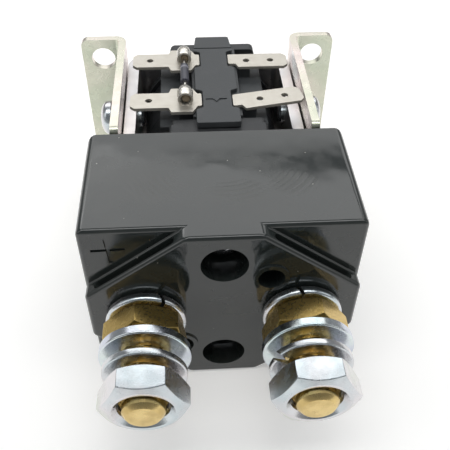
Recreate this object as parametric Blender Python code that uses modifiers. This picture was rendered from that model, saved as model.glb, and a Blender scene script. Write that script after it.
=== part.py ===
"""Power contactor for a golf cart, lying on its side with the studs towards -Y.

A coil in a steel U frame moves a plunger along Y. The plunger's spindle carries a copper
bridge, which closes the two brass studs in the moulded cover. Units are metres, +Z is up.
The origin is under the middle of the whole length, on the surface that the part lies on.
"""
from math import atan2, cos, hypot, pi, radians, sin, tau

import bmesh
import bpy
from mathutils import Matrix, Vector

MM = 0.001

# Clearances
SEAT_GAP = 0.3 * MM
THREAD_GAP = 0.3 * MM
SLIDE_GAP = 0.3 * MM

# Moulded cover
COVER_WIDTH = 59 * MM
COVER_HEIGHT = 47 * MM
COVER_DEPTH = 34.3 * MM
COVER_WALL = 2.5 * MM
COVER_EDGE_RADIUS = 0.6 * MM
COVER_REAR_RADIUS = 2.2 * MM
CORNER_DEPTH = 3.15 * MM
STUD_FACE_TOP_WIDTH = 15.8 * MM
STUD_FACE_SIDE_HEIGHT = 13.6 * MM
CORNER_SLOT_LENGTH = 22 * MM
CORNER_SLOT_WIDTH = 1.4 * MM
CORNER_SLOT_DEPTH = 1.5 * MM
RINGED_HOLE_X = 9.8 * MM
RINGED_HOLE_Z = 11.1 * MM
RINGED_HOLE_DIAMETER = 5.7 * MM
RINGED_HOLE_DEPTH = 8 * MM
RING_WALL = 1.0 * MM
RING_HEIGHT = 0.4 * MM

# Cover screws
COVER_SCREW_INSET = 8.1 * MM
COVER_SCREW_DIAMETER = 4 * MM
COVER_SCREW_HEAD_DIAMETER = 8.2 * MM
COVER_SCREW_HEAD_HEIGHT = 3 * MM
COVER_SCREW_HEAD_DEPTH = 6.2 * MM
COUNTERBORE_DIAMETER = 9.9 * MM
CROSS_RECESS_WIDTH = 1.1 * MM
CROSS_RECESS_LENGTH = 4.4 * MM
CROSS_RECESS_DEPTH = 1.4 * MM

# Studs and their nuts and washers
STUD_SPACING = 34 * MM
STUD_DIAMETER = 10 * MM
STUD_NECK_DIAMETER = 8.6 * MM
STUD_NECK_LENGTH = 2.6 * MM
STUD_END_DIAMETER = 6.7 * MM
STUD_HEAD_DIAMETER = 15 * MM
STUD_HEAD_THICKNESS = 3.5 * MM
NUT_ACROSS_FLATS = 16 * MM
BRASS_NUT_THICKNESS = 6.2 * MM
STEEL_NUT_THICKNESS = 6.3 * MM
FLAT_WASHER_DIAMETER = 19.2 * MM
FLAT_WASHER_THICKNESS = 2 * MM
SPRING_WASHER_DIAMETER = 17.5 * MM
SPRING_WASHER_THICKNESS = 2.2 * MM
SPRING_WASHER_SLIT = 1.1 * MM
STUD_END_LENGTH = 1.1 * MM
LUG_SPACE = 2.3 * MM
OUTER_NUT_SLACK = 1.2 * MM

# How each nut and slit happens to be turned, left then right
BRASS_NUT_TURNS = (radians(20), radians(48))
STEEL_NUT_TURNS = (radians(0), radians(1))
SEAT_SLIT_ANGLES = (radians(64), radians(98))
OUTER_SLIT_ANGLES = (radians(-70), radians(150))

# Contacts and spindle
CONTACT_TIP_DIAMETER = 9 * MM
CONTACT_TIP_THICKNESS = 1.5 * MM
CONTACT_TRAVEL = 3 * MM
CLOSED_CLEARANCE = 0.1 * MM
BRIDGE_LENGTH = 45 * MM
BRIDGE_WIDTH = 13 * MM
BRIDGE_THICKNESS = 3 * MM
SPINDLE_DIAMETER = 5 * MM
SPINDLE_NOSE = 3 * MM
SPINDLE_COLLAR_MARGIN = 0.6 * MM
SPINDLE_COLLAR_THICKNESS = 1.2 * MM
SPINDLE_GRIP = 12 * MM
CLIP_DIAMETER = 10 * MM
CLIP_THICKNESS = 1 * MM
CONTACT_SPRING_DIAMETER = 10.4 * MM
CONTACT_SPRING_WIRE = 1.1 * MM
CONTACT_SPRING_TURNS = 4
INSULATING_BASE_THICKNESS = 3 * MM

# Steel frame
FRAME_SHEET = 3 * MM
FRAME_WIDTH = 45 * MM
FRAME_HEIGHT = 34.6 * MM
FRAME_LENGTH = 44.7 * MM
FRAME_BEND_RADIUS = 3 * MM
FRONT_PLATE_EDGE = 4.1 * MM
FRONT_PLATE_LUG = 12 * MM

# Magnet
COIL_MARGIN = 0.7 * MM
BOBBIN_FLANGE = 3 * MM
BOBBIN_REAR_CHAMFER = 1.2 * MM
BOBBIN_WALL = 1.3 * MM
BOBBIN_EAR_RISE = 3.1 * MM
BOBBIN_EAR_TOP_WIDTH = 22.4 * MM
BOBBIN_EAR_ROOT_WIDTH = 27 * MM
BOBBIN_EAR_ROOT_HEIGHT = 12 * MM
POLE_DIAMETER = 14.4 * MM
GUIDE_TUBE_WALL = 0.5 * MM
FIXED_CORE_LENGTH = 21.4 * MM
PLUNGER_SPARE_TRAVEL = 0.8 * MM
POLE_CONE_DEPTH = 2 * MM
PLUNGER_SETBACK = 0.8 * MM
RETURN_SPRING_DIAMETER = 8.8 * MM
RETURN_SPRING_WIRE = 0.9 * MM
RETURN_SPRING_TURNS = 5
RETURN_SPRING_MARGIN = 0.6 * MM
CORE_POCKET_DEPTH = 8 * MM
PLUNGER_POCKET_DEPTH = 6 * MM

# Terminal strip, spades and diode, with heights taken from the stud axis
STRIP_OFFSET = 0.9 * MM
STRIP_OVERHANG = 1.0 * MM
STRIP_LENGTH = 39.9 * MM
STRIP_THICKNESS = 1.6 * MM
STRIP_WIDE = 10.5 * MM
STRIP_NARROW = 7.0 * MM
STRIP_ROOT_WIDTH = 12 * MM
SPADE_PAD_WIDTH = 19 * MM
SPADE_SUNK = 0.2 * MM
SPADE_SHEET = 0.8 * MM
SPADE_WIDTH = 6.3 * MM
SPADE_SETBACK = 10.6 * MM
SPADE_PITCH = 18.5 * MM
RIGHT_FRONT_SPADE_SHIFT = 1.7 * MM
SPADE_HOLE_DIAMETER = 1.7 * MM
SPADE_LEG_WIDTH = 2.4 * MM
SPADE_LEG_START = 0.7 * MM
SPADE_LEG_DEPTH = 2.2 * MM
SPADE_TIP_CHAMFER = 1.1 * MM
SPADE_TIP_CLEARANCE = 2.5 * MM
LEFT_SPADE_ROOT_LENGTH = 8 * MM
LEFT_SPADE_ROOT_WIDTH = 10 * MM
LEFT_SPADE_HOLE = 4.5 * MM
RIGHT_SPADE_NECK = (1.9 * MM, 1.5 * MM)
RIGHT_FRONT_TIP_CLEARANCE = 0.4 * MM
RIGHT_SPADE_HOLES = (4.4 * MM, 10.8 * MM)
RIGHT_FRONT_SPADE_ANGLE = radians(11)
BARREL_REACH = 4.1 * MM
BARREL_SETBACK = 0.9 * MM
BARREL_DIAMETER = 4.6 * MM
BARREL_WALL = 0.8 * MM
BARREL_HEIGHT = 2.4 * MM
DIODE_DIAMETER = 2.2 * MM
DIODE_LENGTH = 6.5 * MM
DIODE_LEAD_DIAMETER = 0.9 * MM
DIODE_RISE = 1.5 * MM

# Mounting angles and their screws
BRACKET_SHEET = 2 * MM
BRACKET_FLANGE = 12.6 * MM
BRACKET_SETBACK = 1.4 * MM
BRACKET_BEND_RADIUS = 2 * MM
BRACKET_CORNER_RADIUS = 2 * MM
BRACKET_HOLE_DIAMETER = 6.5 * MM
BRACKET_HOLE_INSET = 5.8 * MM
BRACKET_SCREW_DIAMETER = 5 * MM
BRACKET_SCREW_HEAD_DIAMETER = 9 * MM
BRACKET_SCREW_HEAD_HEIGHT = 3.2 * MM
BRACKET_SCREW_TIP = 1.3 * MM
BRACKET_SCREW_SETBACK = 22.5 * MM
BRACKET_SCREW_INSET = 6.3 * MM
LOCK_WASHER_DIAMETER = 9.2 * MM
LOCK_WASHER_THICKNESS = 1.2 * MM
LOCK_WASHER_SLIT = 0.8 * MM

# Facets round a full turn
ROUND = 32
MEDIUM_ROUND = 24
SMALL_ROUND = 16
WIRE_STEPS = 10

# Places that follow from the sizes, along Y from the stud face or out from the stud axis
HALF_HEIGHT = COVER_HEIGHT / 2
COVER_SCREW_Z = HALF_HEIGHT - COVER_SCREW_INSET
COVER_INNER_FRONT = CORNER_DEPTH + COVER_WALL
STUD_REACH = (
    3 * SEAT_GAP
    + 2 * SPRING_WASHER_THICKNESS
    + BRASS_NUT_THICKNESS
    + FLAT_WASHER_THICKNESS
    + LUG_SPACE
    + OUTER_NUT_SLACK
    + STEEL_NUT_THICKNESS
    + STUD_END_LENGTH
)
FRAME_FRONT = COVER_DEPTH + SEAT_GAP
FRAME_REAR = FRAME_FRONT + FRAME_LENGTH
FRAME_INNER_X = FRAME_WIDTH / 2 - FRAME_SHEET
FRONT_PLATE_REAR = FRAME_FRONT + FRAME_SHEET
BOBBIN_START = FRONT_PLATE_REAR + SEAT_GAP
FRAME_BASE_FRONT = FRAME_REAR - FRAME_SHEET
BOBBIN_END = FRAME_BASE_FRONT - SEAT_GAP
BOBBIN_FLANGE_RADIUS = FRAME_INNER_X - SEAT_GAP
BOBBIN_EAR_TOP = BOBBIN_FLANGE_RADIUS + BOBBIN_EAR_RISE
COIL_RADIUS = BOBBIN_FLANGE_RADIUS - COIL_MARGIN
MOUNT_PLANE = FRAME_REAR + SEAT_GAP
STUD_HEAD_REAR = COVER_INNER_FRONT + SEAT_GAP + STUD_HEAD_THICKNESS
FIXED_TIP_REAR = STUD_HEAD_REAR + SEAT_GAP + CONTACT_TIP_THICKNESS
MOVING_TIP_FRONT = FIXED_TIP_REAR + CONTACT_TRAVEL + CLOSED_CLEARANCE
BRIDGE_FRONT = MOVING_TIP_FRONT + CONTACT_TIP_THICKNESS + SEAT_GAP
BRIDGE_REAR = BRIDGE_FRONT + BRIDGE_THICKNESS
INSULATING_BASE_FRONT = COVER_DEPTH - INSULATING_BASE_THICKNESS
COLLAR_REAR = INSULATING_BASE_FRONT - SEAT_GAP
COLLAR_FRONT = COLLAR_REAR - SPINDLE_COLLAR_THICKNESS
FIXED_CORE_REAR = FRAME_FRONT + FIXED_CORE_LENGTH
PLUNGER_FRONT = FIXED_CORE_REAR + CONTACT_TRAVEL + PLUNGER_SPARE_TRAVEL + SLIDE_GAP
PLUNGER_REAR = FRAME_REAR - PLUNGER_SETBACK
POLE_RADIUS = POLE_DIAMETER / 2
POCKET_RADIUS = RETURN_SPRING_DIAMETER / 2 + RETURN_SPRING_MARGIN
TUBE_INNER_RADIUS = POLE_RADIUS + SLIDE_GAP
TUBE_OUTER_RADIUS = TUBE_INNER_RADIUS + GUIDE_TUBE_WALL
BOBBIN_BORE_RADIUS = TUBE_OUTER_RADIUS + SEAT_GAP
BOBBIN_TUBE_RADIUS = BOBBIN_BORE_RADIUS + BOBBIN_WALL
STUD_RADIUS = STUD_DIAMETER / 2
HARDWARE_BORE_RADIUS = STUD_RADIUS + THREAD_GAP
BRACKET_INNER_X = FRAME_WIDTH / 2 + SEAT_GAP
BRACKET_OUTER_X = BRACKET_INNER_X + BRACKET_SHEET
BRACKET_TIP_X = BRACKET_INNER_X + BRACKET_FLANGE
BRACKET_START = FRAME_FRONT + BRACKET_SETBACK
BRACKET_SCREW_Y = BRACKET_START + BRACKET_SCREW_SETBACK
BRACKET_SCREW_SPACING = FRAME_HEIGHT - 2 * BRACKET_SCREW_INSET
STRIP_START = BOBBIN_START - STRIP_OVERHANG
STRIP_END = STRIP_START + STRIP_LENGTH
STRIP_TOP = BOBBIN_EAR_TOP + SEAT_GAP + STRIP_THICKNESS
SPADE_TOP = STRIP_TOP - SPADE_SUNK
PAD_TOP = SPADE_TOP - SPADE_SHEET - SEAT_GAP
SPADE_FRONT_Y = STRIP_START + SPADE_SETBACK
SPADE_REAR_Y = SPADE_FRONT_Y + SPADE_PITCH
SPADE_ROOT = STRIP_NARROW / 2 + SEAT_GAP
BARREL_X = STRIP_OFFSET - SPADE_ROOT - BARREL_REACH

# Each spade's name, side, place along Y and turn about Z
SPADES = (
    ("spade_front_left", -1, SPADE_FRONT_Y, 0.0),
    ("spade_rear_left", -1, SPADE_REAR_Y, 0.0),
    ("spade_front_right", 1, SPADE_FRONT_Y - RIGHT_FRONT_SPADE_SHIFT, RIGHT_FRONT_SPADE_ANGLE),
    ("spade_rear_right", 1, SPADE_REAR_Y, 0.0),
)

# The stud face stands so that the origin is under the middle of the length
FACE_Y = (STUD_REACH - MOUNT_PLANE) / 2
AXIS_TO_Y = Matrix.Rotation(-pi / 2, 4, "X")


def clear_scene():
    for old in list(bpy.data.objects):
        bpy.data.objects.remove(old, do_unlink=True)


def make_collection(name):
    group = bpy.data.collections.new(name)
    bpy.context.scene.collection.children.link(group)
    return group


def finish_material(name, colour, roughness, metallic):
    material = bpy.data.materials.new(name)
    material.use_nodes = True
    shader = material.node_tree.nodes["Principled BSDF"]
    shader.inputs["Base Color"].default_value = (*colour, 1)
    shader.inputs["Roughness"].default_value = roughness
    shader.inputs["Metallic"].default_value = metallic
    return material


clear_scene()
PARTS = make_collection("golf_cart_solenoid")
CUTTERS = make_collection("cutters")
FINISHES = {
    "moulding": ((0.016, 0.017, 0.018), 0.25, 0.0),
    "grey_moulding": ((0.055, 0.057, 0.057), 0.55, 0.0),
    "winding_tape": ((0.012, 0.012, 0.013), 0.4, 0.0),
    "brass": ((0.56, 0.39, 0.13), 0.3, 1.0),
    "zinc": ((0.72, 0.75, 0.78), 0.28, 1.0),
    "passivated_zinc": ((0.68, 0.70, 0.56), 0.3, 1.0),
    "steel": ((0.45, 0.45, 0.46), 0.35, 1.0),
    "tinned_brass": ((0.72, 0.69, 0.62), 0.35, 1.0),
    "copper": ((0.64, 0.29, 0.17), 0.3, 1.0),
    "silver": ((0.8, 0.79, 0.76), 0.25, 1.0),
    "spring_steel": ((0.35, 0.35, 0.36), 0.3, 1.0),
    "diode_body": ((0.05, 0.055, 0.075), 0.35, 0.0),
}


def place(obj, group, cutter=False):
    group.objects.link(obj)
    if cutter:
        obj.hide_render = True
        obj.display_type = "WIRE"
    return obj


def from_bmesh(name, bm, cutter=False):
    bmesh.ops.recalc_face_normals(bm, faces=bm.faces)
    mesh = bpy.data.meshes.new(name)
    bm.to_mesh(mesh)
    bm.free()
    mesh.shade_smooth()
    mesh.set_sharp_from_angle(angle=radians(35))
    return place(bpy.data.objects.new(name, mesh), CUTTERS if cutter else PARTS, cutter)


def axis_point(x=0.0, y=0.0, z=0.0):
    """A world point from x, a distance behind the stud face and a height over the stud axis."""
    return Vector((x, FACE_Y + y, HALF_HEIGHT + z))


def cuboid(name, low, high, cutter=False, turn=None):
    """A box between two corners given as in axis_point, turned about its middle if asked."""
    low_point = axis_point(*low)
    high_point = axis_point(*high)
    size = high_point - low_point
    bm = bmesh.new()
    bmesh.ops.create_cube(bm, size=1)
    bmesh.ops.scale(bm, vec=size, verts=bm.verts)
    obj = from_bmesh(name, bm, cutter)
    obj.location = (low_point + high_point) / 2
    if turn is not None:
        obj.rotation_euler = turn
    return obj


def turned(name, profile, at=(0, 0, 0), facets=ROUND, closed=False, cutter=False, axis="Y"):
    """A turned solid from (radius, distance along its axis), listed from front to rear.

    The profile is mirrored along its axis before the turn, so that its outer side runs down.
    """
    bm = bmesh.new()
    verts = [bm.verts.new((radius, 0, along)) for radius, along in reversed(profile)]
    for start, end in zip(verts, verts[1:]):
        bm.edges.new((start, end))
    if closed:
        bm.edges.new((verts[-1], verts[0]))
    mesh = bpy.data.meshes.new(name)
    bm.to_mesh(mesh)
    bm.free()
    obj = place(bpy.data.objects.new(name, mesh), CUTTERS if cutter else PARTS, cutter)
    screw = obj.modifiers.new("turn", "SCREW")
    screw.steps = facets
    screw.render_steps = facets
    screw.use_merge_vertices = True
    screw.merge_threshold = 0.00001
    screw.use_smooth_shade = True
    if axis == "Y":
        obj.rotation_euler = (-pi / 2, 0, 0)
    elif axis == "X":
        obj.rotation_euler = (0, pi / 2, 0)
    obj.location = axis_point(*at)
    return obj


def rod(name, radius, start, end, at=(0.0, 0.0), facets=ROUND, cutter=False, axis="Y"):
    """A plain cylinder along Y at (x, z), or along X at (y, z)."""
    bm = bmesh.new()
    bmesh.ops.create_cone(
        bm, cap_ends=True, segments=facets, radius1=radius, radius2=radius, depth=end - start
    )
    obj = from_bmesh(name, bm, cutter)
    middle = (start + end) / 2
    if axis == "Y":
        obj.rotation_euler = (-pi / 2, 0, 0)
        obj.location = axis_point(at[0], middle, at[1])
    else:
        obj.rotation_euler = (0, pi / 2, 0)
        obj.location = axis_point(middle, at[0], at[1])
    return obj


def tube(name, inner, outer, start, end, x=0.0, facets=ROUND, edge=0.0):
    """A ring along Y with its outer edges chamfered."""
    profile = [
        (inner, start),
        (outer - edge, start),
        (outer, start + edge),
        (outer, end - edge),
        (outer - edge, end),
        (inner, end),
    ]
    if edge == 0:
        profile = [(inner, start), (outer, start), (outer, end), (inner, end)]
    return turned(name, profile, (x, 0, 0), facets, closed=True)


def arc(centre, radius, start, end, steps):
    """Points of an arc, both ends included."""
    return [
        (
            centre[0] + radius * cos(start + (end - start) * step / steps),
            centre[1] + radius * sin(start + (end - start) * step / steps),
        )
        for step in range(steps + 1)
    ]


def extruded(name, loops, depth, matrix, cutter=False):
    """A flat outline, holes as further loops, with its thickness centred on the plane."""
    curve = bpy.data.curves.new(name, "CURVE")
    curve.dimensions = "2D"
    curve.fill_mode = "BOTH"
    curve.extrude = depth / 2
    for loop in loops:
        spline = curve.splines.new("POLY")
        spline.points.add(len(loop) - 1)
        spline.use_cyclic_u = True
        for point, (u, v) in zip(spline.points, loop):
            point.co = (u, v, 0, 1)
    return mesh_from_curve(name, curve, matrix, cutter)


def mesh_from_curve(name, curve, matrix, cutter=False):
    """Turns a curve into a mesh object with its caps welded on."""
    source = bpy.data.objects.new(name + "_curve", curve)
    bpy.context.scene.collection.objects.link(source)
    bpy.context.view_layer.update()
    evaluated = source.evaluated_get(bpy.context.evaluated_depsgraph_get())
    bm = bmesh.new()
    bm.from_mesh(bpy.data.meshes.new_from_object(evaluated))
    bmesh.ops.remove_doubles(bm, verts=bm.verts, dist=0.000001)
    bpy.data.objects.remove(source, do_unlink=True)
    obj = from_bmesh(name, bm, cutter)
    obj.matrix_world = matrix
    return obj


def wire(name, points, radius, matrix, cutter=False):
    """A round wire through points."""
    curve = bpy.data.curves.new(name, "CURVE")
    curve.dimensions = "3D"
    curve.bevel_depth = radius
    curve.bevel_resolution = 2
    curve.use_fill_caps = True
    spline = curve.splines.new("POLY")
    spline.points.add(len(points) - 1)
    for point, place_of in zip(spline.points, points):
        point.co = (*place_of, 1)
    return mesh_from_curve(name, curve, matrix, cutter)


def boolean(obj, other, operation, solver="EXACT"):
    modifier = obj.modifiers.new(other.name, "BOOLEAN")
    modifier.operation = operation
    modifier.solver = solver
    modifier.object = other
    return obj


def cut(obj, *cutters):
    for cutter in cutters:
        boolean(obj, cutter, "DIFFERENCE")


def join(obj, *others):
    for other in others:
        boolean(obj, other, "UNION")


def round_edges(obj, width, segments=2, angle=radians(35)):
    bevel = obj.modifiers.new("round_edges", "BEVEL")
    bevel.width = width
    bevel.segments = segments
    bevel.limit_method = "ANGLE"
    bevel.angle_limit = angle
    bevel.use_clamp_overlap = True


def sheet(name, path, width, thickness, corner_radius=0.0):
    """A bent strip: an open surface along a path in XY, wide in Z, thickened both ways."""
    bm = bmesh.new()
    lower = [bm.verts.new((x, y, -width / 2)) for x, y in path]
    edges = [bm.edges.new(pair) for pair in zip(lower, lower[1:])]
    rise = bmesh.ops.extrude_edge_only(bm, edges=edges)
    upper = [item for item in rise["geom"] if isinstance(item, bmesh.types.BMVert)]
    bmesh.ops.translate(bm, verts=upper, vec=(0, 0, width))
    if corner_radius > 0:
        corners = [vert for vert in bm.verts if len(vert.link_edges) == 2]
        bmesh.ops.bevel(
            bm, geom=corners, offset=corner_radius, segments=4, affect="VERTICES", profile=0.5
        )
    obj = from_bmesh(name, bm)
    solidify = obj.modifiers.new("thickness", "SOLIDIFY")
    solidify.thickness = thickness
    solidify.offset = 0
    solidify.use_even_offset = True
    obj.location = axis_point()
    return obj


def bent_path(points, radius, steps=4):
    """A path through points with each inner corner rounded."""
    path = [points[0]]
    for before, corner, after in zip(points, points[1:], points[2:]):
        come = Vector(corner) - Vector(before)
        leave = Vector(after) - Vector(corner)
        turn = come.angle_signed(leave)
        side = 1 if turn < 0 else -1
        come.normalize()
        setback = radius * abs(sin(turn / 2) / cos(turn / 2))
        start = Vector(corner) - come * setback
        centre = start + Vector((-come.y, come.x)) * radius * side
        first = atan2(start.y - centre.y, start.x - centre.x)
        path += arc(centre, radius, first, first + abs(turn) * side, steps)
    return path + [points[-1]]


def hex_nut(name, thickness, front, x, turn, finish):
    """A hexagon nut along Y, corners chamfered, both ends of the thread countersunk."""
    flat_radius = NUT_ACROSS_FLATS / 2
    corner_radius = flat_radius / cos(pi / 6)
    corners = [
        (corner_radius * cos(turn + step * tau / 6), corner_radius * sin(turn + step * tau / 6))
        for step in range(6)
    ]
    middle = front + thickness / 2
    matrix = Matrix.Translation(axis_point(x, middle)) @ AXIS_TO_Y
    nut = extruded(name, [corners], thickness, matrix)
    chamfer = (corner_radius - flat_radius) * 0.55
    face_radius = flat_radius - 0.3 * MM
    rear = front + thickness
    barrel_profile = [
        (0, front),
        (face_radius, front),
        (corner_radius + MM, front + chamfer + MM / 2),
        (corner_radius + MM, rear - chamfer - MM / 2),
        (face_radius, rear),
        (0, rear),
    ]
    barrel = turned(name + "_chamfer", barrel_profile, (x, 0, 0), MEDIUM_ROUND, cutter=True)
    boolean(nut, barrel, "INTERSECT")
    sink = 1.0 * MM
    bore_profile = [
        (0, front - sink),
        (HARDWARE_BORE_RADIUS + 2 * sink, front - sink),
        (HARDWARE_BORE_RADIUS, front + sink),
        (HARDWARE_BORE_RADIUS, rear - sink),
        (HARDWARE_BORE_RADIUS + 2 * sink, rear + sink),
        (0, rear + sink),
    ]
    cut(nut, turned(name + "_bore", bore_profile, (x, 0, 0), MEDIUM_ROUND, cutter=True))
    paint(nut, finish)
    return nut


def split_washer(name, inner, outer, thickness, slit, front, at, slit_angle, facets, axis="Y"):
    """A square-section ring with a slanting slit, along Y at (x, z) or along X at (y, z)."""
    edge = thickness * 0.12
    profile = [
        (inner, front),
        (outer - edge, front),
        (outer, front + edge),
        (outer, front + thickness - edge),
        (outer - edge, front + thickness),
        (inner, front + thickness),
    ]
    if axis == "Y":
        ring = turned(name, profile, (at[0], 0, at[1]), facets, closed=True)
        middle = Vector((at[0], front + thickness / 2, at[1]))
        outward = Vector((cos(slit_angle), 0, sin(slit_angle)))
        lengthways = Vector((0, 1, 0))
    else:
        ring = turned(name, profile, (0, *at), facets, closed=True, axis="X")
        middle = Vector((front + thickness / 2, *at))
        outward = Vector((0, cos(slit_angle), sin(slit_angle)))
        lengthways = Vector((1, 0, 0))
    radial = (inner + outer) / 2
    size = Vector((outer - inner + 2 * MM, thickness * 2.4, slit))
    bm = bmesh.new()
    bmesh.ops.create_cube(bm, size=1)
    bmesh.ops.scale(bm, vec=size, verts=bm.verts)
    knife = from_bmesh(name + "_slit", bm, cutter=True)
    across = outward.cross(lengthways)
    basis = Matrix((outward, lengthways, across)).transposed().to_4x4()
    lean = Matrix.Rotation(radians(25), 4, "X")
    knife.matrix_world = Matrix.Translation(axis_point(*(middle + outward * radial))) @ basis @ lean
    cut(ring, knife)
    return ring


def spring(name, diameter, wire_diameter, turns, start, end):
    """A compression spring along Y with its first and last turn closed up."""
    steps = WIRE_STEPS
    radius = (diameter - wire_diameter) / 2
    first = start + wire_diameter / 2
    last = end - wire_diameter / 2
    points = []
    for step in range(turns * steps + 1):
        share = step / (turns * steps)
        eased = share - sin(tau * share) / tau * 0.5
        angle = tau * step / steps
        along = first + (last - first) * eased
        points.append((radius * cos(angle), along, radius * sin(angle)))
    coil = wire(name, points, wire_diameter / 2, Matrix.Translation(axis_point()))
    paint(coil, "spring_steel")
    return coil


def paint(obj, finish):
    colour, roughness, metallic = FINISHES[finish]
    obj.data.materials.clear()
    obj.data.materials.append(finish_material(obj.name, colour, roughness, metallic))


# Cover
def cover_shell():
    """The moulded block with its rear corners rounded and its front corners cut back."""
    half_width = COVER_WIDTH / 2
    radius = COVER_REAR_RADIUS
    plan = [(-half_width, 0), (half_width, 0)]
    plan += arc((half_width - radius, COVER_DEPTH - radius), radius, 0, pi / 2, 5)
    plan += arc((radius - half_width, COVER_DEPTH - radius), radius, pi / 2, pi, 5)
    matrix = Matrix.Translation(axis_point())
    cover = extruded("contact_cover", [plan], COVER_HEIGHT, matrix)
    for side in (-1, 1):
        for level in (-1, 1):
            cut(cover, corner_block(side, level))
    round_edges(cover, COVER_EDGE_RADIUS)
    return cover


def corner_ends(side, level):
    """The two ends of a diagonal corner wall, as (x, z)."""
    top = Vector((side * STUD_FACE_TOP_WIDTH / 2, level * HALF_HEIGHT))
    flank = Vector((side * COVER_WIDTH / 2, level * STUD_FACE_SIDE_HEIGHT / 2))
    return top, flank


def corner_block(side, level):
    """Cuts one front corner back to its triangular face."""
    top, flank = corner_ends(side, level)
    along = (flank - top).normalized() * 6 * MM
    beyond = Vector((side * (COVER_WIDTH / 2 + 8 * MM), level * (HALF_HEIGHT + 8 * MM)))
    triangle = [tuple(top - along), tuple(flank + along), tuple(beyond)]
    outline = [(x, -z) for x, z in triangle]
    depth = CORNER_DEPTH + 4 * MM
    matrix = Matrix.Translation(axis_point(0, CORNER_DEPTH - depth / 2)) @ AXIS_TO_Y
    name = "corner_%s_%s" % ("right" if side > 0 else "left", "upper" if level > 0 else "lower")
    return extruded(name, [outline], depth, matrix, cutter=True)


def corner_slot(side):
    """The long blind slot in an upper diagonal wall."""
    top, flank = corner_ends(side, 1)
    middle = (top + flank) / 2
    slope = atan2(flank.y - top.y, flank.x - top.x)
    low = (-CORNER_SLOT_LENGTH / 2, -CORNER_SLOT_WIDTH / 2, -CORNER_SLOT_DEPTH)
    high = (CORNER_SLOT_LENGTH / 2, CORNER_SLOT_WIDTH / 2, CORNER_SLOT_DEPTH)
    slot = cuboid("corner_slot_%s" % ("right" if side > 0 else "left"), low, high, cutter=True)
    slot.location = axis_point(middle.x, CORNER_DEPTH / 2, middle.y)
    slot.rotation_euler = (0, -slope, 0)
    return slot


def contact_cover():
    cover = cover_shell()
    inner_x = COVER_WIDTH / 2 - COVER_WALL
    inner_z = HALF_HEIGHT - COVER_WALL
    chamber = cuboid(
        "chamber",
        (-inner_x, COVER_INNER_FRONT, -inner_z),
        (inner_x, COVER_DEPTH + 2 * MM, inner_z),
        cutter=True,
    )
    cut(cover, chamber)
    pillar_radius = COUNTERBORE_DIAMETER / 2 + 1.8 * MM
    pillar_end = INSULATING_BASE_FRONT - SEAT_GAP
    counterbore_floor = COVER_SCREW_HEAD_DEPTH + COVER_SCREW_HEAD_HEIGHT + SEAT_GAP
    boss_radius = RINGED_HOLE_DIAMETER / 2 + 1.8 * MM
    boss_end = RINGED_HOLE_DEPTH + COVER_WALL
    ring_radius = RINGED_HOLE_DIAMETER / 2 + RING_WALL
    for level, word in ((1, "top"), (-1, "bottom")):
        at = (0, level * COVER_SCREW_Z)
        start = CORNER_DEPTH
        pillar = rod("pillar_" + word, pillar_radius, start, pillar_end, at, MEDIUM_ROUND, True)
        join(cover, pillar)
    for level, word in ((1, "right"), (-1, "left")):
        at = (level * RINGED_HOLE_X, level * RINGED_HOLE_Z)
        boss = rod("boss_" + word, boss_radius, CORNER_DEPTH, boss_end, at, SMALL_ROUND, True)
        ring = rod("ring_" + word, ring_radius, -RING_HEIGHT, COVER_WALL, at, MEDIUM_ROUND, True)
        join(cover, boss, ring)
        hole_radius = RINGED_HOLE_DIAMETER / 2
        hole = rod("hole_" + word, hole_radius, -2 * MM, RINGED_HOLE_DEPTH, at, MEDIUM_ROUND, True)
        cut(cover, hole)
        cut(cover, corner_slot(level))
        at = (level * STUD_SPACING / 2, 0)
        radius = STUD_RADIUS + SEAT_GAP
        end = COVER_INNER_FRONT + MM
        cut(cover, rod("stud_hole_" + word, radius, -2 * MM, end, at, MEDIUM_ROUND, True))
    for level, word in ((1, "top"), (-1, "bottom")):
        at = (0, level * COVER_SCREW_Z)
        radius = COUNTERBORE_DIAMETER / 2
        sunk = rod("counterbore_" + word, radius, -2 * MM, counterbore_floor, at, cutter=True)
        clearance = COVER_SCREW_DIAMETER / 2 + SEAT_GAP
        through = rod("screw_way_" + word, clearance, 0, COVER_DEPTH, at, SMALL_ROUND, True)
        cut(cover, sunk, through)
    paint(cover, "moulding")


def cover_screw(word, level):
    """A long pan head screw that holds the cover to the front plate."""
    z = level * COVER_SCREW_Z
    head = COVER_SCREW_HEAD_DIAMETER / 2
    shank = COVER_SCREW_DIAMETER / 2
    front = COVER_SCREW_HEAD_DEPTH
    seat = front + COVER_SCREW_HEAD_HEIGHT
    end = FRONT_PLATE_REAR - SEAT_GAP
    dome = 0.9 * MM
    profile = [
        (0, front),
        (head - 1.6 * dome, front),
        (head - 0.5 * dome, front + 0.35 * dome),
        (head, front + dome),
        (head, seat),
        (shank, seat),
        (shank, end - 0.5 * MM),
        (shank - 0.5 * MM, end),
        (0, end),
    ]
    screw = turned("cover_screw_" + word, profile, (0, 0, z), SMALL_ROUND)
    for quarter in range(2):
        reach = CROSS_RECESS_LENGTH / 2
        half = CROSS_RECESS_WIDTH / 2
        low = (-reach, front - MM, z - half)
        high = (reach, front + CROSS_RECESS_DEPTH, z + half)
        turn = (0, radians(30) + quarter * pi / 2, 0)
        arm = cuboid("recess_%s_%d" % (word, quarter), low, high, cutter=True, turn=turn)
        cut(screw, arm)
    paint(screw, "zinc")


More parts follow.
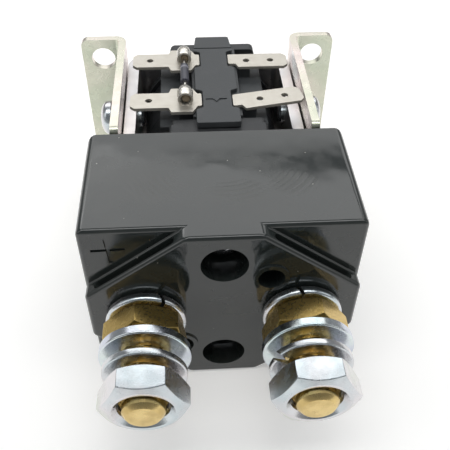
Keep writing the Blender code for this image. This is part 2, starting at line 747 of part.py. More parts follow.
def insulating_base():
    """The moulded plate that closes the back of the cover round the spindle."""
    half_width = COVER_WIDTH / 2 - COVER_WALL - SEAT_GAP
    half_height = HALF_HEIGHT - COVER_WALL - SEAT_GAP
    low = (-half_width, INSULATING_BASE_FRONT, -half_height)
    high = (half_width, COVER_DEPTH, half_height)
    base = cuboid("insulating_base", low, high)
    spindle_way = SPINDLE_DIAMETER / 2 + SLIDE_GAP
    start = INSULATING_BASE_FRONT - MM
    end = COVER_DEPTH + MM
    cut(base, rod("spindle_way", spindle_way, start, end, facets=SMALL_ROUND, cutter=True))
    for level, word in ((1, "top"), (-1, "bottom")):
        at = (0, level * COVER_SCREW_Z)
        clearance = COVER_SCREW_DIAMETER / 2 + SEAT_GAP
        cut(base, rod("base_way_" + word, clearance, start, end, at, SMALL_ROUND, True))
    paint(base, "moulding")


# Studs and their fasteners
def stud(word, side):
    """A brass stud with a round inner head, a turned-down neck and a chamfered end."""
    tip = -STUD_REACH
    neck = STUD_NECK_DIAMETER / 2
    end = STUD_END_DIAMETER / 2
    chamfer = neck - end
    head_front = COVER_INNER_FRONT + SEAT_GAP
    step = STUD_RADIUS - neck
    profile = [
        (0, tip),
        (end, tip),
        (neck, tip + chamfer),
        (neck, tip + STUD_NECK_LENGTH),
        (STUD_RADIUS, tip + STUD_NECK_LENGTH + step),
        (STUD_RADIUS, head_front),
        (STUD_HEAD_DIAMETER / 2, head_front),
        (STUD_HEAD_DIAMETER / 2, STUD_HEAD_REAR),
        (0, STUD_HEAD_REAR),
    ]
    x = side * STUD_SPACING / 2
    paint(turned("stud_" + word, profile, (x, 0, 0), MEDIUM_ROUND), "brass")
    tip_start = STUD_HEAD_REAR + SEAT_GAP
    radius = CONTACT_TIP_DIAMETER / 2
    fixed = rod("fixed_tip_" + word, radius, tip_start, FIXED_TIP_REAR, (x, 0), SMALL_ROUND)
    paint(fixed, "silver")


def stud_fasteners(word, side):
    """From the cover outwards: split washer, brass nut, flat washer, split washer, steel nut."""
    x = side * STUD_SPACING / 2
    bore = HARDWARE_BORE_RADIUS
    split_radius = SPRING_WASHER_DIAMETER / 2
    split = SPRING_WASHER_THICKNESS
    slit = SPRING_WASHER_SLIT
    hand = (side + 1) // 2

    front = -SEAT_GAP - split
    name = "seat_washer_" + word
    angle = SEAT_SLIT_ANGLES[hand]
    washer = split_washer(name, bore, split_radius, split, slit, front, (x, 0), angle, MEDIUM_ROUND)
    paint(washer, "zinc")

    front -= SEAT_GAP + BRASS_NUT_THICKNESS
    turn = BRASS_NUT_TURNS[hand]
    hex_nut("brass_nut_" + word, BRASS_NUT_THICKNESS, front, x, turn, "brass")

    front -= SEAT_GAP + FLAT_WASHER_THICKNESS
    flat = tube(
        "flat_washer_" + word,
        bore,
        FLAT_WASHER_DIAMETER / 2,
        front,
        front + FLAT_WASHER_THICKNESS,
        x,
        MEDIUM_ROUND,
        edge=0.3 * MM,
    )
    paint(flat, "zinc")

    nut_front = STUD_END_LENGTH - STUD_REACH
    turn = STEEL_NUT_TURNS[hand]
    hex_nut("steel_nut_" + word, STEEL_NUT_THICKNESS, nut_front, x, turn, "zinc")

    front = nut_front + STEEL_NUT_THICKNESS + OUTER_NUT_SLACK
    name = "spring_washer_" + word
    angle = OUTER_SLIT_ANGLES[hand]
    washer = split_washer(name, bore, split_radius, split, slit, front, (x, 0), angle, MEDIUM_ROUND)
    paint(washer, "zinc")


# Moving contact
def contact_bridge():
    """The copper bar, a hole for the spindle and a silver tip near each end."""
    half_length = BRIDGE_LENGTH / 2
    half_width = BRIDGE_WIDTH / 2
    radius = 3 * MM
    outline = []
    corners = ((1, 1, 0), (-1, 1, pi / 2), (-1, -1, pi), (1, -1, 3 * pi / 2))
    for side, level, start in corners:
        centre = (side * (half_length - radius), level * (half_width - radius))
        outline += arc(centre, radius, start, start + pi / 2, 4)
    hole = circle((0, 0), SPINDLE_DIAMETER / 2 + SLIDE_GAP, SMALL_ROUND)
    matrix = Matrix.Translation(axis_point(0, BRIDGE_FRONT + BRIDGE_THICKNESS / 2)) @ AXIS_TO_Y
    paint(extruded("contact_bridge", [outline, hole], BRIDGE_THICKNESS, matrix), "copper")
    for side, word in ((-1, "left"), (1, "right")):
        at = (side * STUD_SPACING / 2, 0)
        radius = CONTACT_TIP_DIAMETER / 2
        end = BRIDGE_FRONT - SEAT_GAP
        tip = rod("moving_tip_" + word, radius, MOVING_TIP_FRONT, end, at, SMALL_ROUND)
        paint(tip, "silver")


def spindle():
    """The rod through bridge, base and fixed core, with the collar that pushes the spring."""
    radius = SPINDLE_DIAMETER / 2
    collar = CONTACT_SPRING_DIAMETER / 2 + SPINDLE_COLLAR_MARGIN
    start = BRIDGE_FRONT - SEAT_GAP - CLIP_THICKNESS - SPINDLE_NOSE
    end = PLUNGER_FRONT + SPINDLE_GRIP
    chamfer = 0.6 * MM
    profile = [
        (0, start),
        (radius - chamfer, start),
        (radius, start + chamfer),
        (radius, COLLAR_FRONT),
        (collar, COLLAR_FRONT),
        (collar, COLLAR_REAR),
        (radius, COLLAR_REAR),
        (radius, end),
        (0, end),
    ]
    paint(turned("spindle", profile, facets=SMALL_ROUND), "steel")
    clip_end = BRIDGE_FRONT - SEAT_GAP
    clip_start = clip_end - CLIP_THICKNESS
    inner = radius + SEAT_GAP
    clip = tube("retaining_clip", inner, CLIP_DIAMETER / 2, clip_start, clip_end, facets=SMALL_ROUND)
    paint(clip, "spring_steel")
    spring(
        "contact_spring",
        CONTACT_SPRING_DIAMETER,
        CONTACT_SPRING_WIRE,
        CONTACT_SPRING_TURNS,
        BRIDGE_REAR + SEAT_GAP,
        COLLAR_FRONT - SEAT_GAP,
    )


# Magnet
def front_plate():
    """The steel plate between the frame's legs, with a lug into a notch of each leg."""
    half_width = FRAME_INNER_X - SEAT_GAP
    half_height = COVER_SCREW_Z + FRONT_PLATE_EDGE
    low = (-half_width, FRAME_FRONT, -half_height)
    high = (half_width, FRONT_PLATE_REAR, half_height)
    plate = cuboid("front_plate", low, high)
    lug = FRONT_PLATE_LUG / 2
    low = (-FRAME_WIDTH / 2, FRAME_FRONT, -lug)
    high = (FRAME_WIDTH / 2, FRONT_PLATE_REAR, lug)
    join(plate, cuboid("plate_lugs", low, high, cutter=True))
    start = FRAME_FRONT - MM
    end = FRONT_PLATE_REAR + MM
    radius = POLE_RADIUS + SEAT_GAP
    cut(plate, rod("core_seat", radius, start, end, facets=MEDIUM_ROUND, cutter=True))
    for level, word in ((1, "top"), (-1, "bottom")):
        at = (0, level * COVER_SCREW_Z)
        radius = COVER_SCREW_DIAMETER / 2 + THREAD_GAP
        cut(plate, rod("plate_thread_" + word, radius, start, end, at, SMALL_ROUND, True))
    paint(plate, "zinc")


def yoke_frame():
    """The U of zinc-plated strip round the coil, open towards the cover."""
    leg_x = (FRAME_WIDTH - FRAME_SHEET) / 2
    rear = FRAME_REAR - FRAME_SHEET / 2
    corners = [(-leg_x, FRAME_FRONT), (-leg_x, rear), (leg_x, rear), (leg_x, FRAME_FRONT)]
    yoke = sheet("yoke_frame", bent_path(corners, FRAME_BEND_RADIUS), FRAME_HEIGHT, FRAME_SHEET)
    notch = FRONT_PLATE_LUG / 2 + SEAT_GAP
    low = (-FRAME_WIDTH, FRAME_FRONT - MM, -notch)
    high = (FRAME_WIDTH, FRONT_PLATE_REAR + SEAT_GAP, notch)
    cut(yoke, cuboid("lug_notches", low, high, cutter=True))
    tube_way = TUBE_OUTER_RADIUS + SEAT_GAP
    start = FRAME_BASE_FRONT - MM
    end = FRAME_REAR + MM
    cut(yoke, rod("tube_way", tube_way, start, end, facets=MEDIUM_ROUND, cutter=True))
    for level, word in ((1, "upper"), (-1, "lower")):
        cut(yoke, bracket_screw_way("yoke_thread_" + word, level, -FRAME_WIDTH, FRAME_WIDTH))
    paint(yoke, "zinc")


def bobbin_flange(name, start, rear_chamfer):
    """A round flange with a tapered ear on top that carries the terminal strip."""
    radius = BOBBIN_FLANGE_RADIUS
    end = start + BOBBIN_FLANGE
    profile = [(0, start), (radius, start), (radius, end - rear_chamfer)]
    profile += [(radius - rear_chamfer, end), (0, end)]
    flange = turned(name, profile, cutter=True)
    centre = STRIP_OFFSET
    top = BOBBIN_EAR_TOP_WIDTH / 2
    root = BOBBIN_EAR_ROOT_WIDTH / 2
    ear = [
        (centre - root, -BOBBIN_EAR_ROOT_HEIGHT),
        (centre + root, -BOBBIN_EAR_ROOT_HEIGHT),
    ]
    rounding = 1.2 * MM
    ear += arc((centre + top - rounding, rounding - BOBBIN_EAR_TOP), rounding, 0, -pi / 2, 3)
    ear += arc((centre - top + rounding, rounding - BOBBIN_EAR_TOP), rounding, -pi / 2, -pi, 3)
    matrix = Matrix.Translation(axis_point(0, start + BOBBIN_FLANGE / 2)) @ AXIS_TO_Y
    return flange, extruded(name + "_ear", [ear], BOBBIN_FLANGE, matrix, cutter=True)


def coil_bobbin():
    facets = MEDIUM_ROUND
    bobbin = rod("coil_bobbin", BOBBIN_TUBE_RADIUS, BOBBIN_START, BOBBIN_END, facets=facets)
    join(bobbin, *bobbin_flange("front_flange", BOBBIN_START, 0.1 * MM))
    rear_start = BOBBIN_END - BOBBIN_FLANGE
    join(bobbin, *bobbin_flange("rear_flange", rear_start, BOBBIN_REAR_CHAMFER))
    start = BOBBIN_START - MM
    end = BOBBIN_END + MM
    cut(bobbin, rod("bobbin_bore", BOBBIN_BORE_RADIUS, start, end, facets=facets, cutter=True))
    paint(bobbin, "grey_moulding")
    winding = tube(
        "coil_winding",
        BOBBIN_TUBE_RADIUS + SEAT_GAP,
        COIL_RADIUS,
        BOBBIN_START + BOBBIN_FLANGE + SEAT_GAP,
        BOBBIN_END - BOBBIN_FLANGE - SEAT_GAP,
        edge=0.5 * MM,
    )
    paint(winding, "winding_tape")


def magnet_poles():
    """Guide tube, fixed core and plunger, with facing cones and pockets for the spring."""
    inner = TUBE_INNER_RADIUS
    sleeve = tube(
        "guide_tube", inner, TUBE_OUTER_RADIUS, BOBBIN_START, PLUNGER_REAR, facets=MEDIUM_ROUND
    )
    paint(sleeve, "brass")
    bore = SPINDLE_DIAMETER / 2 + SLIDE_GAP
    pocket = POCKET_RADIUS
    core = turned(
        "fixed_core",
        [
            (bore, FRAME_FRONT),
            (POLE_RADIUS, FRAME_FRONT),
            (POLE_RADIUS, FIXED_CORE_REAR - POLE_CONE_DEPTH),
            (pocket + 0.8 * MM, FIXED_CORE_REAR),
            (pocket, FIXED_CORE_REAR),
            (pocket, FIXED_CORE_REAR - CORE_POCKET_DEPTH),
            (bore, FIXED_CORE_REAR - CORE_POCKET_DEPTH),
        ],
        closed=True,
        facets=SMALL_ROUND,
    )
    paint(core, "steel")
    rear_chamfer = 0.8 * MM
    plunger = turned(
        "plunger",
        [
            (pocket, PLUNGER_FRONT),
            (pocket + 0.8 * MM, PLUNGER_FRONT),
            (POLE_RADIUS, PLUNGER_FRONT - POLE_CONE_DEPTH),
            (POLE_RADIUS, PLUNGER_REAR - rear_chamfer),
            (POLE_RADIUS - rear_chamfer, PLUNGER_REAR),
            (0, PLUNGER_REAR),
            (0, PLUNGER_FRONT + SPINDLE_GRIP + SEAT_GAP),
            (bore, PLUNGER_FRONT + SPINDLE_GRIP + SEAT_GAP),
            (bore, PLUNGER_FRONT + PLUNGER_POCKET_DEPTH),
            (pocket, PLUNGER_FRONT + PLUNGER_POCKET_DEPTH),
        ],
        closed=True,
        facets=MEDIUM_ROUND,
    )
    paint(plunger, "steel")
    spring(
        "return_spring",
        RETURN_SPRING_DIAMETER,
        RETURN_SPRING_WIRE,
        RETURN_SPRING_TURNS,
        FIXED_CORE_REAR - CORE_POCKET_DEPTH + SEAT_GAP,
        PLUNGER_FRONT + PLUNGER_POCKET_DEPTH - SEAT_GAP,
    )


# Terminal strip
def strip_outline():
    """The strip's plan, wide at its ends and middle and narrow at the two pairs of spades."""
    wide = STRIP_WIDE / 2
    narrow = STRIP_NARROW / 2
    slope = 0.8 * MM
    steps = [(STRIP_START, wide)]
    for centre in (SPADE_FRONT_Y, SPADE_REAR_Y):
        half = SPADE_WIDTH / 2 + SEAT_GAP
        steps += [(centre - half - slope, wide), (centre - half, narrow)]
        steps += [(centre + half, narrow), (centre + half + slope, wide)]
    steps += [(STRIP_END - slope, wide), (STRIP_END, wide - slope)]
    right = [(STRIP_OFFSET + half, y) for y, half in steps]
    left = [(STRIP_OFFSET - half, y) for y, half in reversed(steps)]
    return right + left


def terminal_block():
    """A moulded strip over the coil, with a pad under each spade and a slot for its leg."""
    ear_top = BOBBIN_EAR_TOP + SEAT_GAP
    depth = STRIP_TOP - ear_top
    matrix = Matrix.Translation(axis_point(0, 0, STRIP_TOP - depth / 2))
    block = extruded("terminal_block", [strip_outline()], depth, matrix)
    coil_top = COIL_RADIUS + SEAT_GAP
    root_start = BOBBIN_START + BOBBIN_FLANGE + SEAT_GAP
    root_end = BOBBIN_END - BOBBIN_FLANGE - SEAT_GAP
    half = STRIP_ROOT_WIDTH / 2
    low = (STRIP_OFFSET - half, root_start, coil_top)
    high = (STRIP_OFFSET + half, root_end, PAD_TOP)
    join(block, cuboid("strip_root", low, high, cutter=True))
    for word, centre in (("front", SPADE_FRONT_Y), ("rear", SPADE_REAR_Y)):
        reach = SPADE_PAD_WIDTH / 2
        half = SPADE_WIDTH / 2
        low = (STRIP_OFFSET - reach, centre - half, coil_top)
        high = (STRIP_OFFSET + reach, centre + half, PAD_TOP - 0.05 * MM)
        join(block, cuboid("pad_" + word, low, high, cutter=True))
    for name, side, centre, angle in SPADES:
        slot = spade_leg("slot_" + name, side, centre, angle, SEAT_GAP)
        cut(block, slot)
    paint(block, "grey_moulding")


def circle(centre, radius, facets):
    return arc(centre, radius, 0, tau, facets)[:-1]


def spade_matrix(side, centre, angle):
    """Where a spade's local frame stands: X along the tab, Z up, in the middle of the sheet."""
    root = STRIP_OFFSET + side * SPADE_ROOT
    height = SPADE_TOP - SPADE_SHEET / 2
    facing = angle if side > 0 else pi
    return Matrix.Translation(axis_point(root, centre, height)) @ Matrix.Rotation(facing, 4, "Z")


def spade_leg(name, side, centre, angle, margin=0.0):
    """The leg that stakes a spade into the strip, or with a margin the slot it stands in."""
    half = SPADE_LEG_WIDTH / 2 + margin
    start = SPADE_LEG_START - margin
    end = SPADE_LEG_START + SPADE_SHEET + margin
    outline = [(start, -half), (end, -half), (end, half), (start, half)]
    top = SPADE_SHEET / 4 + margin
    bottom = -SPADE_LEG_DEPTH - margin
    lift = Matrix.Translation((0, 0, (top + bottom) / 2))
    matrix = spade_matrix(side, centre, angle) @ lift
    return extruded(name, [outline], top - bottom, matrix, cutter=True)


def left_spade(name, centre):
    """A tab with a wide root and a rolled barrel that stands on it for the diode's lead."""
    length = BRACKET_INNER_X - SPADE_TIP_CLEARANCE + STRIP_OFFSET - SPADE_ROOT
    half = SPADE_WIDTH / 2
    wide = LEFT_SPADE_ROOT_WIDTH / 2
    chamfer = SPADE_TIP_CHAMFER
    upper = [(0, wide - 2.4 * MM), (1.0 * MM, wide - 2.4 * MM), (2.2 * MM, wide)]
    upper += [(LEFT_SPADE_ROOT_LENGTH - chamfer / 2, wide), (LEFT_SPADE_ROOT_LENGTH, half)]
    upper += [(length - chamfer, half), (length, half - chamfer)]
    lower = [(x, -y) for x, y in reversed(upper)]
    hole = circle((length - LEFT_SPADE_HOLE, 0), SPADE_HOLE_DIAMETER / 2, 12)
    matrix = spade_matrix(-1, centre, 0)
    tab = extruded(name, [upper + lower, hole], SPADE_SHEET, matrix)
    outer = BARREL_DIAMETER / 2
    inner = outer - BARREL_WALL
    opening = radians(50)
    wall = arc((0, 0), outer, -pi / 2 + opening, 3 * pi / 2 - opening, 14)
    wall += reversed(arc((0, 0), inner, -pi / 2 + opening, 3 * pi / 2 - opening, 14))
    height = BARREL_HEIGHT + SPADE_SHEET / 2
    middle = SPADE_TOP - SPADE_SHEET / 2 + height / 2
    place_of = Matrix.Translation(axis_point(BARREL_X, centre + BARREL_SETBACK, middle))
    join(tab, extruded(name + "_barrel", [wall], height, place_of, cutter=True))
    join(tab, spade_leg(name + "_leg", -1, centre, 0))
    paint(tab, "tinned_brass")


def right_spade(name, centre, angle):
    """A plain tab with two holes, its front root corner cut back to clear the strip."""
    half = SPADE_WIDTH / 2
    chamfer = SPADE_TIP_CHAMFER
    clearance = RIGHT_FRONT_TIP_CLEARANCE if angle else SPADE_TIP_CLEARANCE
    reach = BRACKET_INNER_X - clearance - STRIP_OFFSET - SPADE_ROOT
    length = (reach - (half - chamfer) * sin(angle)) / cos(angle)
    neck_length, neck_half = RIGHT_SPADE_NECK
    skew = sin(angle) / cos(angle)
    outline = [(half * skew, half), (-neck_half * skew, -neck_half), (neck_length, -neck_half)]
    outline += [(neck_length + 0.6 * MM, -half), (length - chamfer, -half)]
    outline += [(length, chamfer - half), (length, half - chamfer), (length - chamfer, half)]
    holes = [
        circle((length - from_tip, 0), SPADE_HOLE_DIAMETER / 2, 12) for from_tip in RIGHT_SPADE_HOLES
    ]
    tab = extruded(name, [outline] + holes, SPADE_SHEET, spade_matrix(1, centre, angle))
    join(tab, spade_leg(name + "_leg", 1, centre, angle))
    paint(tab, "tinned_brass")


def suppression_diode():
    """The diode between the two barrels, its leads bent over the front barrel's wall."""
    lead = DIODE_LEAD_DIAMETER / 2
    low = SPADE_TOP + SEAT_GAP + lead
    run = SPADE_TOP + DIODE_RISE
    over = SPADE_TOP + BARREL_HEIGHT + SEAT_GAP + lead
    front = SPADE_FRONT_Y + BARREL_SETBACK
    rear = SPADE_REAR_Y + BARREL_SETBACK
    barrel = BARREL_DIAMETER / 2
    points = [
        (0, front, low),
        (0, front, over - MM),
        (0, front + MM, over),
        (0, front + barrel + MM, over),
        (0, front + barrel + 2 * MM, run + 0.4 * MM),
        (0, front + barrel + 3 * MM, run),
        (0, rear - MM, run),
        (0, rear, run - 0.6 * MM),
        (0, rear, low),
    ]
    matrix = Matrix.Translation(axis_point(BARREL_X))
    diode = wire("suppression_diode", points, lead, matrix)
    middle = (SPADE_FRONT_Y + SPADE_REAR_Y) / 2 + MM
    radius = DIODE_DIAMETER / 2
    start = middle - DIODE_LENGTH / 2
    end = middle + DIODE_LENGTH / 2
    edge = 0.3 * MM
    profile = [
        (0, start),
        (radius - edge, start),
        (radius, start + edge),
        (radius, end - edge),
        (radius - edge, end),
        (0, end),
    ]
    at = (BARREL_X, 0, run)
    join(diode, turned("diode_body", profile, at, SMALL_ROUND, cutter=True))
    paint(diode, "diode_body")


# Mounting angles
def bracket_screw_way(name, level, start, end):
    radius = BRACKET_SCREW_DIAMETER / 2 + THREAD_GAP
    at = (BRACKET_SCREW_Y, level * BRACKET_SCREW_SPACING / 2)
    return rod(name, radius, start, end, at, SMALL_ROUND, True, axis="X")


def bracket(word, side):
    """An angle bent from strip: a leg on the frame's side and a flange to the panel."""
    leg_x = side * (BRACKET_INNER_X + BRACKET_SHEET / 2)
    flange_y = MOUNT_PLANE - BRACKET_SHEET / 2
    tip_x = side * BRACKET_TIP_X
    corners = [(leg_x, BRACKET_START), (leg_x, flange_y), (tip_x, flange_y)]
    path = bent_path(corners, BRACKET_BEND_RADIUS)
    angle = sheet("bracket_" + word, path, COVER_HEIGHT, BRACKET_SHEET, BRACKET_CORNER_RADIUS)
    ends = sorted((side * (BRACKET_INNER_X - MM), side * (BRACKET_OUTER_X + MM)))
    for level, place_of in ((1, "upper"), (-1, "lower")):
        name = "bracket_way_%s_%s" % (word, place_of)
        cut(angle, bracket_screw_way(name, level, *ends))
        x = side * (BRACKET_TIP_X - BRACKET_HOLE_INSET)
        z = level * (HALF_HEIGHT - BRACKET_HOLE_INSET)
        radius = BRACKET_HOLE_DIAMETER / 2
        start = MOUNT_PLANE - BRACKET_SHEET - MM
        name = "panel_hole_%s_%s" % (word, place_of)
        cut(angle, rod(name, radius, start, MOUNT_PLANE + MM, (x, z), MEDIUM_ROUND, True))
    paint(angle, "passivated_zinc")


def bracket_fastener(word, side, place_of, level):
    """A pan head screw and its split washer, from outside through the leg into the frame."""
    z = level * BRACKET_SCREW_SPACING / 2
    washer_near = BRACKET_OUTER_X + SEAT_GAP
    washer_far = washer_near + LOCK_WASHER_THICKNESS
    seat = washer_far + SEAT_GAP
    top = seat + BRACKET_SCREW_HEAD_HEIGHT
    tip = FRAME_INNER_X - BRACKET_SCREW_TIP
    head = BRACKET_SCREW_HEAD_DIAMETER / 2
    shank = BRACKET_SCREW_DIAMETER / 2
    dome = BRACKET_SCREW_HEAD_HEIGHT
    profile = [(0, tip), (shank - 0.6 * MM, tip), (shank, tip + 0.6 * MM), (shank, seat), (head, seat)]
    profile += [
        (head * cos(angle), seat + 0.35 * dome + 0.65 * dome * sin(angle))
        for angle in (0, radians(45))
    ]
    profile += [(0, top)]
    if side < 0:
        profile = [(radius, -along) for radius, along in reversed(profile)]
    name = "bracket_screw_%s_%s" % (word, place_of)
    screw = turned(name, profile, (0, BRACKET_SCREW_Y, z), SMALL_ROUND, axis="X")
    reach = CROSS_RECESS_LENGTH / 2
    half = CROSS_RECESS_WIDTH / 2
    faces = sorted((side * (top - CROSS_RECESS_DEPTH), side * (top + MM)))
    for quarter in range(2):
        low = (faces[0], BRACKET_SCREW_Y - reach, z - half)
        high = (faces[1], BRACKET_SCREW_Y + reach, z + half)
        turn = (radians(20) + quarter * pi / 2, 0, 0)
        cut(screw, cuboid("%s_recess_%d" % (name, quarter), low, high, cutter=True, turn=turn))
    paint(screw, "zinc")
    ends = sorted((side * washer_near, side * washer_far))
    washer = split_washer(
        "bracket_lock_washer_%s_%s" % (word, place_of),
        shank + THREAD_GAP,
        LOCK_WASHER_DIAMETER / 2,
        LOCK_WASHER_THICKNESS,
        LOCK_WASHER_SLIT,
        ends[0],
        (BRACKET_SCREW_Y, z),
        radians(60),
        SMALL_ROUND,
        axis="X",
    )
    paint(washer, "zinc")


def build():
    contact_cover()
    insulating_base()
    for word, level in (("top", 1), ("bottom", -1)):
        cover_screw(word, level)
    for word, side in (("left", -1), ("right", 1)):
        stud(word, side)
        stud_fasteners(word, side)
    contact_bridge()
    spindle()
    front_plate()
    yoke_frame()
    coil_bobbin()
    magnet_poles()
    terminal_block()
    for name, side, centre, angle in SPADES:
        if side < 0:
            left_spade(name, centre)
        else:
            right_spade(name, centre, angle)
    suppression_diode()
    for word, side in (("left", -1), ("right", 1)):
        bracket(word, side)
        for place_of, level in (("upper", 1), ("lower", -1)):
            bracket_fastener(word, side, place_of, level)


build()
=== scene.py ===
"""Golf cart solenoid, lying on its side with its two brass studs towards -Y.

Sizes are in millimetres until a mesh is made. Each piece takes its place from the CAD node that it
stands for, and the pieces follow each other as the real one is put together.
"""
from math import cos, hypot, pi, radians, sin, tan, tau

import bmesh
import bpy
from mathutils import Matrix, Vector


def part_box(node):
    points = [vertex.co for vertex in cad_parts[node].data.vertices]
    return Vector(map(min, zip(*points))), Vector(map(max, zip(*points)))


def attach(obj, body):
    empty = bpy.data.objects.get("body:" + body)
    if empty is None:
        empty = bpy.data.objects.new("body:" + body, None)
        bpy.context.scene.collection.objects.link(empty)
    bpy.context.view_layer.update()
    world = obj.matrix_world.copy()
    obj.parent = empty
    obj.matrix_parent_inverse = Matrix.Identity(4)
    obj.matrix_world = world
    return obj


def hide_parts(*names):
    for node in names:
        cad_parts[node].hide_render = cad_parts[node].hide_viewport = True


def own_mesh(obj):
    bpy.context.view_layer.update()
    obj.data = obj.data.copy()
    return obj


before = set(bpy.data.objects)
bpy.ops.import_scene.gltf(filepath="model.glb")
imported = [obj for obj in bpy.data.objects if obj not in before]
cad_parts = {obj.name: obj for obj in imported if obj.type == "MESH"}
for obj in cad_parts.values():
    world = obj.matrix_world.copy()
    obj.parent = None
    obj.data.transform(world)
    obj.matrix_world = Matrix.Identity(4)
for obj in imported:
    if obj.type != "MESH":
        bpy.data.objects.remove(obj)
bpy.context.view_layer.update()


# Frame: a 3 mm mild steel strip bent to a U round the coil, its back bored for the plunger.
# It is zinc plated and passivated after bending, so it is pale with a faint tint that drifts, and
# its sheared edges are a little rounded.
FRAME_SHEET = 3.0
FRAME_BEND_RADIUS = 3.0
FRAME_BORE_RADIUS = 8.3
FRAME_EDGE = 0.25
FRAME_SCREW_RADIUS = 2.8


def linear(colour):
    """Turns an sRGB hex colour to linear light."""
    parts = [int(colour[start : start + 2], 16) / 255 for start in (1, 3, 5)]
    light = [part / 12.92 if part <= 0.04045 else ((part + 0.055) / 1.055) ** 2.4 for part in parts]
    return (*light, 1.0)


def add(tree, kind, inputs=None, **settings):
    """Adds a shader node with its settings, and sets or links each input. A node is its first output."""
    node = tree.nodes.new("ShaderNode" + kind)
    for name, value in settings.items():
        setattr(node, name, value)
    for key, value in (inputs or {}).items():
        if isinstance(value, bpy.types.Node):
            value = value.outputs[0]
        if isinstance(value, bpy.types.NodeSocket):
            tree.links.new(value, node.inputs[key])
        else:
            node.inputs[key].default_value = value
    return node


def new_material(name):
    """A material, its tree with no nodes but one, and that node's place on the piece, in metres."""
    material = bpy.data.materials.new(name)
    material.use_nodes = True
    material.node_tree.nodes.clear()
    return material, material.node_tree, add(material.node_tree, "TexCoord").outputs["Object"]


def ends(node):
    """The lowest and highest corner of a CAD node, in mm."""
    low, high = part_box(node)
    return Vector(low) * 1000, Vector(high) * 1000


def rectangle(left, bottom, right, top):
    """The four corners of an upright rectangle."""
    return [(left, bottom), (right, bottom), (right, top), (left, top)]


def axis_place(node):
    """Where a piece that lies along X has its axis, as Y and Z in mm."""
    low, high = ends(node)
    return (low.y + high.y) / 2, (low.z + high.z) / 2


def spot(across, up, along, axis):
    """A point from its place across, up and along one axis."""
    return Vector({"X": (along, across, up), "Y": (across, along, up), "Z": (across, up, along)}[axis])


def arc(centre, radius, start, end, steps):
    """Points on an arc, with both ends."""
    turns = [start + (end - start) * step / steps for step in range(steps + 1)]
    return [(centre[0] + radius * cos(turn), centre[1] + radius * sin(turn)) for turn in turns]


def round_off(points, radius, closed=True, steps=6):
    """A line or outline with an arc of that radius, or of its own radius in a list, at each corner."""
    points = [Vector(point) for point in points]
    rounded = []
    for index, point in enumerate(points):
        at_end = index in (0, len(points) - 1)
        before = points[index - 1] - point
        after = points[(index + 1) % len(points)] - point
        wanted = radius[index] if isinstance(radius, (list, tuple)) else radius
        if wanted == 0 or (at_end and not closed) or before.angle(after) > pi - 0.02:
            rounded.append(point)
            continue
        opening = before.angle(after)
        cut = min(wanted / tan(opening / 2), 0.49 * before.length, 0.49 * after.length)
        middle = (before.normalized() + after.normalized()).normalized()
        centre = point + middle * hypot(cut, cut * tan(opening / 2))
        spoke = point + before.normalized() * cut - centre
        sweep = pi - opening
        if after.x * before.y - after.y * before.x < 0:
            sweep = -sweep
        for step in range(steps + 1):
            rounded.append(centre + Matrix.Rotation(sweep * step / steps, 2) @ spoke)
    return rounded


def strip_outline(line, thickness):
    """The edge-on outline of a sheet whose middle follows a line."""
    sides = ([], [])
    for index, point in enumerate(line):
        ahead = line[min(index + 1, len(line) - 1)] - point
        behind = point - line[max(index - 1, 0)]
        along = (ahead.normalized() + behind.normalized()).normalized()
        leg = ahead if ahead.length > 0 else behind
        spread = thickness / 2 / max(0.5, along.dot(leg.normalized()))
        normal = Vector((-along.y, along.x)) * spread
        sides[0].append(point + normal)
        sides[1].append(point - normal)
    return sides[0] + sides[1][::-1]


def loft(loops, closed=False):
    """A skin through loops of as many points each, capped unless it closes on itself."""
    bm = bmesh.new()
    rows = [[bm.verts.new(point) for point in loop] for loop in loops]
    pairs = list(zip(rows, rows[1:]))
    if closed:
        pairs.append((rows[-1], rows[0]))
    for one, other in pairs:
        for index in range(len(one)):
            bm.faces.new((one[index - 1], one[index], other[index], other[index - 1]))
    if not closed:
        bm.faces.new(rows[0])
        bm.faces.new(rows[-1])
    bmesh.ops.remove_doubles(bm, verts=bm.verts, dist=1e-4)
    bmesh.ops.recalc_face_normals(bm, faces=bm.faces)
    return bm


def prism(outline, start, end, axis="Y"):
    """A closed block with that outline, from start to end along an axis."""
    return loft([[spot(*point, along, axis) for point in outline] for along in (start, end)])


def rod(radius, start, end, at=(0, 0), axis="Y", sides=64):
    """A plain round rod, for a hole or a pin."""
    return prism(arc(at, radius, 0, tau, sides)[:-1], start, end, axis)


def solid(name, bm):
    """A piece in metres from a shape in mm."""
    bmesh.ops.scale(bm, vec=(0.001, 0.001, 0.001), verts=bm.verts)
    mesh = bpy.data.meshes.new(name)
    bm.to_mesh(mesh)
    bm.free()
    piece = bpy.data.objects.new(name, mesh)
    bpy.context.scene.collection.objects.link(piece)
    return piece


def bake(piece):
    """Turns the piece's modifiers into mesh."""
    seen = piece.evaluated_get(bpy.context.evaluated_depsgraph_get())
    mesh = bpy.data.meshes.new_from_object(seen)
    piece.modifiers.clear()
    piece.data = mesh


def carve(piece, shape, operation="DIFFERENCE"):
    """Cuts a shape out of the piece, or joins it on."""
    tool = solid("tool", shape)
    cutting = piece.modifiers.new("carve", "BOOLEAN")
    cutting.operation = operation
    cutting.solver = "EXACT"
    cutting.object = tool
    bake(piece)
    bpy.data.objects.remove(tool)


def soften(piece, width, segments=3, angle=30):
    """Rounds the edges that are sharper than the angle."""
    rounding = piece.modifiers.new("edges", "BEVEL")
    rounding.width = width / 1000
    rounding.segments = segments
    rounding.limit_method = "ANGLE"
    rounding.angle_limit = radians(angle)
    bake(piece)


